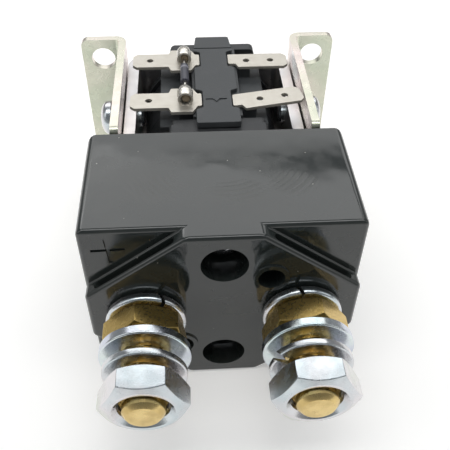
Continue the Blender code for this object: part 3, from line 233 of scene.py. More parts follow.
def settle(piece, material, body, slot, *cad_nodes, crease=40):
    """Shades and paints the piece, ties it to its body, and hides the CAD nodes that it stands for. Its slot
    is not used.
    """
    bm = bmesh.new()
    bm.from_mesh(piece.data)
    for edge in bm.edges:
        edge.smooth = len(edge.link_faces) == 2 and edge.calc_face_angle() < radians(crease)
    for face in bm.faces:
        face.smooth = True
    bm.to_mesh(piece.data)
    bm.free()
    normals = piece.modifiers.new("flat faces stay flat", "WEIGHTED_NORMAL")
    normals.keep_sharp = True
    piece.data.materials.clear()
    piece.data.materials.append(material)
    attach(piece, body)
    if cad_nodes:
        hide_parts(*cad_nodes)


def plated_zinc(name, tints, roughness, blotch, grain=0.25):
    """Zinc plate with a thin passivation film: its tint drifts over the surface and towards grazing."""
    material, tree, place = new_material(name)
    drift = add(tree, "TexNoise", {"Vector": place, "Scale": 1000 / blotch, "Detail": 3.0})
    facing = add(tree, "LayerWeight", {"Blend": 0.35})
    film = add(tree, "Math", {0: drift, 1: 0.75}, operation="MULTIPLY")
    film = add(tree, "Math", {0: facing.outputs["Facing"], 1: 0.45, 2: film}, operation="MULTIPLY_ADD")
    tint = add(tree, "ValToRGB", {"Fac": film})
    for index, colour in enumerate(tints):
        at = 0.15 + 0.75 * index / (len(tints) - 1)
        step = tint.color_ramp.elements.new(at)
        step.color = linear(colour)
    tint.color_ramp.elements.remove(tint.color_ramp.elements[0])
    tint.color_ramp.elements.remove(tint.color_ramp.elements[-1])
    # The crystals of the plate are a few hundredths of a mm, drawn coarser so that they show.
    crystals = add(tree, "TexNoise", {"Vector": place, "Scale": 1000 / grain, "Detail": 2.0})
    handling = add(tree, "TexNoise", {"Vector": place, "Scale": 1000 / 2.5, "Detail": 4.0})
    polish = add(
        tree, "MapRange", {"Value": handling, 1: 0.3, 2: 0.7, 3: roughness - 0.06, 4: roughness + 0.1},
    )
    relief = add(tree, "Bump", {"Height": crystals, "Strength": 0.25, "Distance": 0.00002})
    shader = add(
        tree, "BsdfPrincipled",
        {"Base Color": tint, "Metallic": 1.0, "Roughness": polish, "Normal": relief},
    )
    add(tree, "OutputMaterial", {"Surface": shader})
    return material


# Bright zinc with a thin clear film: light, half glossy, with a faint drift to pink and green.
frame_zinc = plated_zinc("zinc_plated_steel_strip", ["#dcdad8", "#cecdcf", "#ddd7d3", "#c6d0ce"], 0.32, 14)

low, high = ends("yoke_frame")
inset = FRAME_SHEET / 2
line = round_off(
    [
        (low.x + inset, low.y), (low.x + inset, high.y - inset), (high.x - inset, high.y - inset),
        (high.x - inset, low.y),
    ],
    FRAME_BEND_RADIUS, closed=False, steps=10,
)
frame_strip = solid("frame_strip", prism(strip_outline(line, FRAME_SHEET), low.z, high.z, "Z"))
middle_z = (low.z + high.z) / 2
carve(frame_strip, rod(FRAME_BORE_RADIUS, high.y - 6, high.y + 2, (0, middle_z)))
for level in ("upper", "lower"):
    at = axis_place("bracket_screw_left_" + level)
    carve(frame_strip, rod(FRAME_SCREW_RADIUS, low.x - 2, high.x + 2, at, "X", 40))
soften(frame_strip, FRAME_EDGE, 2)
settle(frame_strip, frame_zinc, "housing", "zinc", "yoke_frame")

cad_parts["front_plate"].data.materials[0] = frame_zinc


# Bobbin: glass-filled nylon moulded in one piece, two flanges on a tube, with an ear on top of each
# flange that carries the terminal strip. Spark-eroded mould faces leave it matte dark grey.
BOBBIN_FLANGE = 3.0
BOBBIN_EAR_TOP = 11.2
BOBBIN_EAR_ROOT = 13.5
BOBBIN_EAR_ROOT_Z = 12.0
BOBBIN_EAR_ROUND = 1.4
BOBBIN_TONGUE = 23.6
BOBBIN_TONGUE_REACH = 3.1
BOBBIN_TONGUE_ROUND = 1.0
BOBBIN_REAR_CHAMFER = 1.2
BOBBIN_TUBE_RADIUS = 9.6
BOBBIN_BORE_RADIUS = 8.3
STRIP_OFFSET = 0.9


def turned(profile, at=(0, 0), axis="Y", steps=96, closed=False):
    """A shape turned from (distance along, radius) pairs. A radius may be a function of the turn."""
    loops = []
    for along, radius in profile:
        loop = []
        for step in range(steps):
            turn = tau * step / steps
            reach = radius(turn) if callable(radius) else radius
            loop.append(spot(at[0] + reach * cos(turn), at[1] + reach * sin(turn), along, axis))
        loops.append(loop)
    return loft(loops, closed)


def matte_moulding(name, colour, worn, grain):
    """Glass-filled nylon: dull, finely grained, and paler where its surface is rubbed."""
    material, tree, place = new_material(name)
    rubbed = add(tree, "TexNoise", {"Vector": place, "Scale": 1000 / 5, "Detail": 5.0, "Roughness": 0.6})
    share = add(tree, "MapRange", {"Value": rubbed, 1: 0.42, 2: 0.68, 3: 0.0, 4: 0.6})
    paint = add(tree, "Mix", {0: share, 6: linear(colour), 7: linear(worn)}, data_type="RGBA")
    # The eroded grain is about 0.05 mm across, drawn at several times that so that it shows.
    pits = add(tree, "TexNoise", {"Vector": place, "Scale": 1000 / grain, "Detail": 3.0})
    relief = add(tree, "Bump", {"Height": pits, "Strength": 0.5, "Distance": 0.00006})
    gloss = add(tree, "MapRange", {"Value": rubbed, 1: 0.3, 2: 0.7, 3: 0.44, 4: 0.62})
    shader = add(
        tree, "BsdfPrincipled",
        {"Base Color": paint.outputs[2], "Roughness": gloss, "IOR": 1.53, "Normal": relief},
    )
    add(tree, "OutputMaterial", {"Surface": shader})
    return material


# Black glass-filled nylon reads as a soft dark grey, because its grain scatters the light.
bobbin_nylon = matte_moulding("black_glass_filled_nylon", "#2e3032", "#3c3e40", 0.3)

low, high = ends("coil_bobbin")
flange_radius = high.x
bobbin = solid("bobbin", rod(BOBBIN_TUBE_RADIUS, low.y + 1, high.y - 1, (0, middle_z), sides=96))
ear = round_off(
    [
        (STRIP_OFFSET - BOBBIN_EAR_ROOT, middle_z + BOBBIN_EAR_ROOT_Z),
        (STRIP_OFFSET + BOBBIN_EAR_ROOT, middle_z + BOBBIN_EAR_ROOT_Z),
        (STRIP_OFFSET + BOBBIN_EAR_TOP, high.z), (STRIP_OFFSET - BOBBIN_EAR_TOP, high.z),
    ],
    [0, 0, BOBBIN_EAR_ROUND, BOBBIN_EAR_ROUND],
)
# The front ear reaches forward over the front plate, nearly to the cover.
plate_top = ends("front_plate")[1].z
half = BOBBIN_TONGUE / 2
tongue = rectangle(STRIP_OFFSET - half, plate_top + 0.1, STRIP_OFFSET + half, high.z)
tongue = round_off(tongue, [0, 0, BOBBIN_TONGUE_ROUND, BOBBIN_TONGUE_ROUND])
carve(bobbin, prism(tongue, low.y - BOBBIN_TONGUE_REACH, low.y + 1), "UNION")
for start, end, chamfer in (
    (low.y, low.y + BOBBIN_FLANGE, 0.2), (high.y - BOBBIN_FLANGE, high.y, BOBBIN_REAR_CHAMFER),
):
    disc = [(start, 0), (start, flange_radius), (end - chamfer, flange_radius)]
    disc += [(end, flange_radius - chamfer), (end, 0)]
    carve(bobbin, turned(disc, (0, middle_z), steps=128), "UNION")
    carve(bobbin, prism(ear, start, end), "UNION")
carve(bobbin, rod(BOBBIN_BORE_RADIUS, low.y - 2, high.y + 2, (0, middle_z)))
soften(bobbin, 0.3, 3)
settle(bobbin, bobbin_nylon, "housing", "bobbin_moulding", "coil_bobbin")


# Winding: enamelled wire under black vinyl tape. The tape is wrapped in laps, so each lap's edge
# stands a little proud of the last one, and it is smooth with a broad soft shine.
TAPE_LAP = 9.0
TAPE_STEP = 0.16

low, high = ends("coil_winding")
coil_radius = high.x
inner_radius = BOBBIN_TUBE_RADIUS + 0.3


def lap_radius(along):
    """The tape's radius where it has wound on that far, and a wavering edge to each lap."""

    def reach(turn):
        wound = (along - low.y) / TAPE_LAP + turn / tau + 0.012 * sin(3 * turn + along)
        lap = wound % 1.0
        rise = min(1.0, lap / 0.035) * TAPE_STEP * (1 - 0.55 * lap)
        return coil_radius - TAPE_STEP + rise - 0.03 * sin(2 * turn + 1.3 * along)

    return reach


rows = 150
profile = [(low.y, inner_radius), (low.y, coil_radius - 0.9)]
profile += [
    (low.y + 0.35 + (high.y - low.y - 0.7) * row / rows, lap_radius(low.y + (high.y - low.y) * row / rows))
    for row in range(rows + 1)
]
profile += [(high.y, coil_radius - 0.9), (high.y, inner_radius)]
tape_wrap = solid("tape_wrap", turned(profile, (0, middle_z), steps=128, closed=True))

# Black vinyl tape: smooth, slightly stretched, with dull patches where fingers pressed it.
vinyl_tape, tree, place = new_material("black_vinyl_tape")
pressed = add(tree, "TexNoise", {"Vector": place, "Scale": 1000 / 6, "Detail": 3.0})
gloss = add(tree, "MapRange", {"Value": pressed, 1: 0.35, 2: 0.65, 3: 0.4, 4: 0.52})
stretched = add(tree, "Mapping", {"Vector": place, "Scale": (1.0, 0.25, 1.0)})
stretch = add(tree, "TexNoise", {"Vector": stretched, "Scale": 1000 / 1.2, "Detail": 2.0})
relief = add(tree, "Bump", {"Height": stretch, "Strength": 0.3, "Distance": 0.00008})
shade = add(tree, "Mix", {0: pressed, 6: linear("#1c1e20"), 7: linear("#2a2c2e")}, data_type="RGBA")
shader = add(
    tree, "BsdfPrincipled",
    {"Base Color": shade.outputs[2], "Roughness": gloss, "IOR": 1.52, "Normal": relief},
)
add(tree, "OutputMaterial", {"Surface": shader})
settle(tape_wrap, vinyl_tape, "housing", "winding_tape", "coil_winding", crease=60)


# Magnet: a brass tube guides a turned steel plunger, whose end shows in the hole at the frame's back.
# The fixed core, the spindle and its clip are inside and keep their CAD shapes.
PLUNGER_RADIUS = 7.2
PLUNGER_FRONT = 2.0
PLUNGER_BACK = 5.8
PLUNGER_POCKET = (5.0, 6.0)
PLUNGER_BORE_RADIUS = 2.8
TUBE_INNER_RADIUS = 7.5


def turned_metal(name, colour, shadow, roughness, axis_x=0.0):
    """Bare metal with the fine rings that a lathe tool leaves round its axis."""
    material, tree, place = new_material(name)
    parts = add(tree, "SeparateXYZ", {0: place})
    # Two like pieces stand at plus and minus axis_x, so the distance from X's size serves both.
    across = add(tree, "Math", {0: parts}, operation="ABSOLUTE")
    offset = add(tree, "Math", {0: across, 1: axis_x / 1000}, operation="SUBTRACT")
    height = add(tree, "Math", {0: parts.outputs[2], 1: middle_z / 1000}, operation="SUBTRACT")
    spoke = add(tree, "CombineXYZ", {0: offset, 1: height})
    reach = add(tree, "VectorMath", {0: spoke}, operation="LENGTH")
    ring = add(tree, "CombineXYZ", {0: reach.outputs["Value"], 1: parts.outputs[1]})
    # Feed marks are about 0.1 mm apart, drawn at 0.25 mm so that they show.
    marks = add(tree, "TexNoise", {"Vector": ring, "Scale": 1000 / 0.25, "Detail": 2.0})
    stain = add(tree, "TexNoise", {"Vector": place, "Scale": 1000 / 3, "Detail": 4.0})
    share = add(tree, "MapRange", {"Value": stain, 1: 0.4, 2: 0.75, 3: 0.0, 4: 0.55})
    tone = add(tree, "Mix", {0: share, 6: linear(colour), 7: linear(shadow)}, data_type="RGBA")
    gloss = add(
        tree, "MapRange", {"Value": stain, 1: 0.3, 2: 0.7, 3: roughness - 0.06, 4: roughness + 0.12},
    )
    relief = add(tree, "Bump", {"Height": marks, "Strength": 0.25, "Distance": 0.00003})
    shader = add(
        tree, "BsdfPrincipled",
        {"Base Color": tone.outputs[2], "Metallic": 1.0, "Roughness": gloss, "Normal": relief},
    )
    add(tree, "OutputMaterial", {"Surface": shader})
    return material


# Machined steel is neutral grey and half bright, and drawn brass tube is a paler yellow.
machined_steel = turned_metal("turned_mild_steel", "#b4b4b6", "#8d8c8b", 0.34)
drawn_brass = turned_metal("drawn_brass_tube", "#d8bd78", "#a98b4c", 0.3)

low, high = ends("plunger")
pocket_radius, pocket_depth = PLUNGER_POCKET
profile = [
    (high.y, 0), (high.y, PLUNGER_RADIUS - 0.5), (high.y - 0.15, PLUNGER_RADIUS - 0.15),
    (high.y - 0.5, PLUNGER_RADIUS), (low.y + 0.3, PLUNGER_RADIUS), (low.y, PLUNGER_RADIUS - 0.3),
    (low.y + PLUNGER_FRONT, pocket_radius), (low.y + PLUNGER_FRONT + pocket_depth, pocket_radius),
    (low.y + PLUNGER_FRONT + pocket_depth, PLUNGER_BORE_RADIUS),
    (high.y - PLUNGER_BACK, PLUNGER_BORE_RADIUS), (high.y - PLUNGER_BACK, 0),
]
plunger = solid("plunger_turning", turned(profile, (0, middle_z)))
settle(plunger, machined_steel, "plunger", "steel", "plunger")
low, high = ends("guide_tube")
outer_radius = high.x
profile = [
    (low.y, TUBE_INNER_RADIUS), (low.y, outer_radius), (high.y, outer_radius),
    (high.y, TUBE_INNER_RADIUS),
]
tube = solid("guide_tube_drawn", turned(profile, (0, middle_z), closed=True))
settle(tube, drawn_brass, "housing", "brass", "guide_tube")
for node in ("fixed_core", "spindle", "retaining_clip"):
    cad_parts[node].data.materials[0] = machined_steel
# Spring wire is drawn and oiled: darker and a little glossier than the turned pieces.
spring_wire = turned_metal("drawn_spring_wire", "#9b9a9c", "#6f6e70", 0.26)


def sweep(line, radius, steps=16):
    """A round wire along a line, the same radius all the way or one for each point."""
    loops = []
    side = Vector((1, 0, 0))
    for index, point in enumerate(line):
        along = (line[min(index + 1, len(line) - 1)] - line[max(index - 1, 0)]).normalized()
        side = (side - along * side.dot(along)).normalized()
        other = along.cross(side)
        reach = radius[index] if isinstance(radius, list) else radius
        turns = [tau * step / steps for step in range(steps)]
        loops.append([point + (side * cos(turn) + other * sin(turn)) * reach for turn in turns])
    return loft(loops)


# Each spring is wound with its end turns closed up.
spring_rows = (
    ("contact", "plunger", 0.55, 4, "bridge_slide", "rear"),
    ("return", "housing", 0.45, 5, "plunger_slide", "front"),
)
for word, body, wire_radius, coils, joint, seat in spring_rows:
    low, high = ends(word + "_spring")
    radius = (high.x - low.x) / 2 - wire_radius
    line = []
    for step in range(coils * 32 + 1):
        share = step / (coils * 32)
        closed_up = share - sin(tau * share) / tau * 0.5
        along = low.y + wire_radius + (high.y - low.y - 2 * wire_radius) * closed_up
        turn = tau * share * coils
        line.append(Vector((radius * cos(turn), along, middle_z + radius * sin(turn))))
    spring = solid(word + "_spring_coil", sweep(line, wire_radius, 12))
    settle(spring, spring_wire, body, "spring_steel", word + "_spring", crease=60)
    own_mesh(spring)


# Contacts: a flat copper bar with a silver alloy disc riveted on at each end, opposite the discs
# on the studs. Bare copper is warm and soft, and the silver is white and dull from stamping.
rolled_copper = turned_metal("rolled_copper_bar", "#d08a66", "#9c5f45", 0.32)
silver_alloy = turned_metal("silver_contact_alloy", "#d9d6d0", "#b3afa8", 0.4, 17.0)
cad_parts["contact_bridge"].data.materials[0] = rolled_copper
for side in ("left", "right"):
    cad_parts["moving_tip_" + side].data.materials[0] = silver_alloy
    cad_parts["fixed_tip_" + side].data.materials[0] = silver_alloy


# Terminal strip: a glass-filled nylon strip between the bobbin's two ears, with a thin flat plate
# under it over the coil. It is narrow where the spades leave it and wide at its ends and its middle.
STRIP_THICKNESS = 1.6
STRIP_WIDE = 10.5
STRIP_NARROW = 7.0
STRIP_SLOPE = 0.8
STRIP_ROOT = 12.0
STRIP_PLATE = 26.4
STRIP_PLATE_THICKNESS = 1.3
STRIP_HEAD_TAPER = 0.75
SPADE_WIDTH = 6.3
SPADE_PITCH = 18.5
SPADE_SETBACK = 9.8
SPADE_SHEET = 0.8
SPADE_SUNK = 0.2
PAD_REACH = 9.5
SEAT_GAP = 0.3
MARK_WIDTH = 0.55
MARK_DEPTH = 0.25
DASH_LENGTH = 1.8
ARROW_HALF_WIDTH = 0.9
ARROW_HEIGHT = 1.5
GROOVE_SETBACK = 5.2
GROOVE_WIDTH = 0.5

low, high = ends("terminal_block")
strip_top = high.z
strip_start, strip_end = low.y, high.y
front_spade_y = strip_start + SPADE_SETBACK
rear_spade_y = front_spade_y + SPADE_PITCH
coil_top = low.z
pad_top = strip_top - SPADE_SUNK - SPADE_SHEET - SEAT_GAP
steps = [(strip_start, STRIP_WIDE / 2)]
for centre in (front_spade_y, rear_spade_y):
    half = SPADE_WIDTH / 2 + SEAT_GAP
    steps += [(centre - half - STRIP_SLOPE, STRIP_WIDE / 2), (centre - half, STRIP_NARROW / 2)]
    steps += [(centre + half, STRIP_NARROW / 2), (centre + half + STRIP_SLOPE, STRIP_WIDE / 2)]
steps += [(strip_end, STRIP_WIDE / 2 - STRIP_HEAD_TAPER)]
outline = [(STRIP_OFFSET + half, y) for y, half in steps]
outline += [(STRIP_OFFSET - half, y) for y, half in reversed(steps)]
outline = round_off(outline, 0.5, steps=3)
strip = solid("terminal_strip", prism(outline, strip_top - STRIP_THICKNESS, strip_top, "Z"))
bobbin_low, bobbin_high = ends("coil_bobbin")
start = bobbin_low.y + BOBBIN_FLANGE + SEAT_GAP
end = bobbin_high.y - BOBBIN_FLANGE - SEAT_GAP
root = rectangle(STRIP_OFFSET - STRIP_ROOT / 2, start, STRIP_OFFSET + STRIP_ROOT / 2, end)
carve(strip, prism(root, coil_top, pad_top, "Z"), "UNION")
plate = rectangle(-STRIP_PLATE / 2, start, STRIP_PLATE / 2, end)
carve(strip, prism(plate, coil_top, coil_top + STRIP_PLATE_THICKNESS, "Z"), "UNION")
for centre in (front_spade_y, rear_spade_y):
    half = SPADE_WIDTH / 2
    pad = rectangle(STRIP_OFFSET - PAD_REACH, centre - half, STRIP_OFFSET + PAD_REACH, centre + half)
    carve(strip, prism(pad, coil_top, pad_top - 0.05, "Z"), "UNION")
soften(strip, 0.3, 3)
# A dash each side of a small arrow shows that the coil may be wired either way round.
dash_y = front_spade_y - 0.5
for start_x in (-1.9, 1.5):
    dash = rectangle(start_x, dash_y, start_x + DASH_LENGTH, dash_y + MARK_WIDTH)
    carve(strip, prism(dash, strip_top - MARK_DEPTH, strip_top + 1, "Z"))
tip = Vector((0.75, front_spade_y - 1.7))
for side in (-1, 1):
    top = tip + Vector((side * ARROW_HALF_WIDTH, ARROW_HEIGHT))
    arrow = strip_outline([tip, top], MARK_WIDTH)
    carve(strip, prism(arrow, strip_top - MARK_DEPTH, strip_top + 1, "Z"))
# A groove across the strip near its rear end is where the mould's slide parted.
groove_y = rear_spade_y + GROOVE_SETBACK
groove = rectangle(-STRIP_WIDE, groove_y, STRIP_WIDE, groove_y + GROOVE_WIDTH)
carve(strip, prism(groove, strip_top - 0.2, strip_top + 1, "Z"))
# The strip's face is dull and paler than the bobbin: light grey dust of the glass fibre shows in it.
strip_nylon = matte_moulding("dark_grey_glass_filled_nylon", "#414446", "#505355", 0.35)
settle(strip, strip_nylon, "housing", "bobbin_moulding", "terminal_block")


# Spades: four 6.3 mm tabs pressed from 0.8 mm brass, tin plated, staked into the strip. The left two
# are wide at the root, where a rolled barrel takes the coil's wire and the diode's lead.
SPADE_HOLE_RADIUS = 0.85
SPADE_TIP_CHAMFER = 1.1
SPADE_REACH_LEFT = 17.4
SPADE_REACH_RIGHT = 15.6
LEFT_ROOT_LENGTH = 8.0
LEFT_ROOT_WIDTH = 10.0
LEFT_HOLE = 4.5
RIGHT_ROOT = 1.5
RIGHT_ROOT_END = 1.9
RIGHT_HOLES = (4.4, 10.8)
RIGHT_FRONT_ANGLE = radians(11)
RIGHT_FRONT_SHIFT = 1.5
RIGHT_REAR_SHIFT = 0.8
RIGHT_FRONT_REACH = 17.63
BARREL_X = -6.85
BARREL_START = 2.3
BARREL_LENGTH = 4.5
BARREL_RADIUS = 1.85
BARREL_WALL = 0.4
BARREL_SUNK = 0.35

# Matt tin on brass: warm off-white, soft, faintly streaked along the way the strip was rolled.
tin_plate, tree, place = new_material("matt_tin_plated_brass")
rolled = add(tree, "Mapping", {"Vector": place, "Scale": (0.2, 1.0, 1.0)})
streaks = add(tree, "TexNoise", {"Vector": rolled, "Scale": 1000 / 0.5, "Detail": 3.0})
cloud = add(tree, "TexNoise", {"Vector": place, "Scale": 1000 / 2.5, "Detail": 4.0})
tone = add(tree, "Mix", {0: cloud, 6: linear("#d9d5cc"), 7: linear("#c4beb2")}, data_type="RGBA")
gloss = add(tree, "MapRange", {"Value": streaks, 1: 0.3, 2: 0.7, 3: 0.36, 4: 0.5})
relief = add(tree, "Bump", {"Height": streaks, "Strength": 0.3, "Distance": 0.00003})
shader = add(
    tree, "BsdfPrincipled",
    {"Base Color": tone.outputs[2], "Metallic": 0.7, "Roughness": gloss, "Normal": relief},
)
add(tree, "OutputMaterial", {"Surface": shader})

spade_top = strip_top - SPADE_SUNK
spade_root = STRIP_NARROW / 2 + SEAT_GAP
barrels = []
for place_word, centre in (("front", front_spade_y), ("rear", rear_spade_y)):
    half = SPADE_WIDTH / 2
    wide = LEFT_ROOT_WIDTH / 2
    reach = SPADE_REACH_LEFT
    upper = [(0, wide - 2.4), (1.0, wide - 2.4), (2.2, wide), (LEFT_ROOT_LENGTH - 0.55, wide)]
    upper += [(LEFT_ROOT_LENGTH, half), (reach - SPADE_TIP_CHAMFER, half), (reach, half - SPADE_TIP_CHAMFER)]
    outline = upper + [(x, -y) for x, y in reversed(upper)]
    outline = [(STRIP_OFFSET - spade_root - x, centre + y) for x, y in round_off(outline, 0.4, steps=3)]
    tab = solid("tab_" + place_word + "_left", prism(outline, spade_top - SPADE_SHEET, spade_top, "Z"))
    hole = (STRIP_OFFSET - spade_root - reach + LEFT_HOLE, centre)
    carve(tab, rod(SPADE_HOLE_RADIUS, spade_top - 2, spade_top + 1, hole, "Z", 32))
    # The barrel lies along the strip: its mouth faces the cover and its far end is pinched.
    mouth = centre - BARREL_START
    lift = spade_top + BARREL_RADIUS - BARREL_SUNK
    bore = BARREL_RADIUS - BARREL_WALL
    rolled = [
        (mouth, bore), (mouth, BARREL_RADIUS), (mouth + BARREL_LENGTH * 0.6, BARREL_RADIUS),
        (mouth + BARREL_LENGTH, BARREL_RADIUS * 0.8), (mouth + BARREL_LENGTH, bore * 0.6),
        (mouth + BARREL_LENGTH * 0.6, bore),
    ]
    carve(tab, turned(rolled, (BARREL_X, lift), steps=40, closed=True), "UNION")
    soften(tab, 0.12, 2, 50)
    settle(tab, tin_plate, "housing", "tinned_brass", "spade_" + place_word + "_left")
    barrels.append(Vector((BARREL_X, mouth, lift)))

for place_word, centre, angle, reach in (
    ("front", front_spade_y - RIGHT_FRONT_SHIFT, RIGHT_FRONT_ANGLE, RIGHT_FRONT_REACH),
    ("rear", rear_spade_y - RIGHT_REAR_SHIFT, 0.0, SPADE_REACH_RIGHT),
):
    half = SPADE_WIDTH / 2
    skew = tan(angle)
    outline = [(half * skew, half), (-RIGHT_ROOT * skew, -RIGHT_ROOT)]
    outline += [(RIGHT_ROOT_END, -RIGHT_ROOT), (RIGHT_ROOT_END + 0.6, -half)]
    outline += [(reach - SPADE_TIP_CHAMFER, -half), (reach, SPADE_TIP_CHAMFER - half)]
    outline += [(reach, half - SPADE_TIP_CHAMFER), (reach - SPADE_TIP_CHAMFER, half)]
    turned_by = Matrix.Rotation(angle, 2)
    origin = Vector((STRIP_OFFSET + spade_root, centre))
    outline = [origin + turned_by @ point for point in round_off(outline, 0.4, steps=3)]
    tab = solid("tab_" + place_word + "_right", prism(outline, spade_top - SPADE_SHEET, spade_top, "Z"))
    for from_tip in RIGHT_HOLES:
        hole = origin + turned_by @ Vector((reach - from_tip, 0))
        carve(tab, rod(SPADE_HOLE_RADIUS, spade_top - 2, spade_top + 1, hole, "Z", 32))
    soften(tab, 0.12, 2, 50)
    settle(tab, tin_plate, "housing", "tinned_brass", "spade_" + place_word + "_right")


# Diode: a small resin diode between the coil's two left tabs, its tinned leads laid into the barrels
# and soldered there. The solder is bright, and the coil's varnished wire ends in the mouths.
DIODE_RADIUS = 1.1
DIODE_LENGTH = 7.6
BAND_START = 1.9
BAND_END = 1.1
LEAD_RADIUS = 0.4
WIRE_RADIUS = 1.0
SOLDER_RISE = 0.16


def eased(points, per_leg=8):
    """A smooth line through the points."""
    points = [Vector(point) for point in points]
    line = []
    for index in range(len(points) - 1):
        before = points[max(index - 1, 0)]
        start, end = points[index], points[index + 1]
        after = points[min(index + 2, len(points) - 1)]
        for step in range(per_leg):
            part = step / per_leg
            bend = 2 * start + (end - before) * part
            bend += (2 * before - 5 * start + 4 * end - after) * part**2
            bend += (3 * start - before - 3 * end + after) * part**3
            line.append(bend / 2)
    return line + [points[-1]]


front, rear = barrels[0].y + BARREL_LENGTH, barrels[1].y
run = barrels[0].z
points = [
    (BARREL_X, front - 1.5, run), (BARREL_X, front + 0.8, run + 0.05),
    (BARREL_X + 0.1, (front + rear) / 2, run), (BARREL_X, rear - 0.8, run + 0.05),
    (BARREL_X, rear + 1.5, run),
]
lead = solid("diode_leads", sweep(eased(points), LEAD_RADIUS))
middle = (front + rear) / 2
start, end = middle - DIODE_LENGTH / 2, middle + DIODE_LENGTH / 2
profile = round_off(
    [(start, LEAD_RADIUS), (start, DIODE_RADIUS), (end, DIODE_RADIUS), (end, LEAD_RADIUS)], 0.45,
    closed=False,
)
body = solid("diode_body", turned([tuple(point) for point in profile], (BARREL_X, run), steps=48))

# Dark epoxy, glossy, its blue-violet tint a painted sheen, with a paler band printed round the cathode end.
diode_resin, tree, place = new_material("dark_epoxy_with_painted_sheen")
along = add(tree, "SeparateXYZ", {0: place})
past = add(tree, "Math", {0: along.outputs[1], 1: (end - BAND_START) / 1000}, operation="GREATER_THAN")
before = add(tree, "Math", {0: along.outputs[1], 1: (end - BAND_END) / 1000}, operation="LESS_THAN")
band = add(tree, "Math", {0: past, 1: before}, operation="MULTIPLY")
cloud = add(tree, "TexNoise", {"Vector": place, "Scale": 1000 / 0.9, "Detail": 3.0})
# Both resin colours are dark epoxy with a painted blue-violet sheen laid into them.
resin = add(tree, "Mix", {0: cloud, 6: linear("#34353f"), 7: linear("#4a4b57")}, data_type="RGBA")
tone = add(tree, "Mix", {0: band, 6: resin.outputs[2], 7: linear("#85858f")}, data_type="RGBA")
gloss = add(tree, "MapRange", {"Value": cloud, 3: 0.25, 4: 0.45})
shader = add(tree, "BsdfPrincipled", {"Base Color": tone.outputs[2], "Roughness": gloss, "IOR": 1.55})
add(tree, "OutputMaterial", {"Surface": shader})
settle(body, diode_resin, "housing", "diode_body", "suppression_diode")

# Solder: bright and smooth where it froze, greyer at its rim.
solder, tree, place = new_material("tin_solder")
frost = add(tree, "TexNoise", {"Vector": place, "Scale": 1000 / 0.7, "Detail": 4.0})
tone = add(tree, "Mix", {0: frost, 6: linear("#efede8"), 7: linear("#c9c3b8")}, data_type="RGBA")
gloss = add(tree, "MapRange", {"Value": frost, 1: 0.3, 2: 0.7, 3: 0.18, 4: 0.34})
relief = add(tree, "Bump", {"Height": frost, "Strength": 0.4, "Distance": 0.00006})
shader = add(
    tree, "BsdfPrincipled",
    {"Base Color": tone.outputs[2], "Metallic": 1.0, "Roughness": gloss, "Normal": relief},
)
add(tree, "OutputMaterial", {"Surface": shader})
settle(lead, solder, "housing", "tinned_brass", "suppression_diode")

# A bright cap of solder runs over each barrel's roof, and the coil's wire ends in its mouth.
enamel_wire = matte_moulding("varnished_wire_end", "#8a7a62", "#a3937a", 0.3)
for word, barrel in zip(("front", "rear"), barrels):
    loops = []
    for step in range(17):
        share = step / 16
        reach = BARREL_RADIUS + SOLDER_RISE * sin(pi * share) ** 0.5
        reach *= 1 - 0.17 * max(0.0, (share - 0.5) / 0.5) ** 2
        roof = arc((barrel.x, barrel.z), reach, radians(18), radians(162), 24)
        roof += arc((barrel.x, barrel.z), BARREL_RADIUS * 0.8 - 0.1, radians(162), radians(18), 24)
        loops.append([spot(x, z, barrel.y + 0.25 + (BARREL_LENGTH - 0.35) * share, "Y") for x, z in roof])
    cap = solid("solder_" + word, loft(loops))
    settle(cap, solder, "housing", "tinned_brass", "suppression_diode", crease=60)
    profile = [(barrel.y + BARREL_LENGTH - 0.8, 0), (barrel.y + BARREL_LENGTH - 0.8, WIRE_RADIUS)]
    profile += [(barrel.y + 0.5, WIRE_RADIUS), (barrel.y + 0.25, WIRE_RADIUS - 0.25), (barrel.y + 0.2, 0)]
    wire = solid("wire_end_" + word, turned(profile, (barrel.x + 0.15, barrel.z + 0.2), steps=32))
    settle(wire, enamel_wire, "housing", "tinned_brass", "suppression_diode")


# Cover: black phenolic pressed in a polished mould, with a raised stud face, four corners set back
# and a long pocket in each upper corner wall. It is glossy and picks up dust and fingerprints.
COVER_REAR_EDGE = 2.2
COVER_LONG_EDGE = 1.6
COVER_EDGE = 1.0
COVER_FOOT = 0.4
CORNER_DEPTH = 3.15
FACE_TOP_WIDTH = 15.8
FACE_SIDE_HEIGHT = 13.6
COVER_WALL = 2.5
POCKET_LENGTH = 22.0
POCKET_WIDTH = 1.7
POCKET_SETBACK = 0.2
POCKET_DEPTH = 1.5
SCREW_PLACE = 15.4
COUNTERBORE_RADIUS = 4.95
COUNTERBORE_DEPTH = 9.5
SCREW_HOLE_RADIUS = 2.3
PILLAR_RADIUS = 6.75
PILLAR_SETBACK = 3.3
RINGED_PLACE = (9.8, 11.1)
RINGED_RADIUS = 2.85
RINGED_DEPTH = 8.0
BOSS_WALL = 1.8
BOSS_FLOOR = 2.5
RING_WALL = 1.0
RING_HEIGHT = 0.4
STUD_PLACE = 17.0
STUD_HOLE_RADIUS = 5.3
PLUS_LINES = (((-27.0, 17.85), (-20.1, 18.05), 0.7), ((-23.75, 21.0), (-23.2, 13.9), 0.8))
PLUS_DEPTH = 0.4

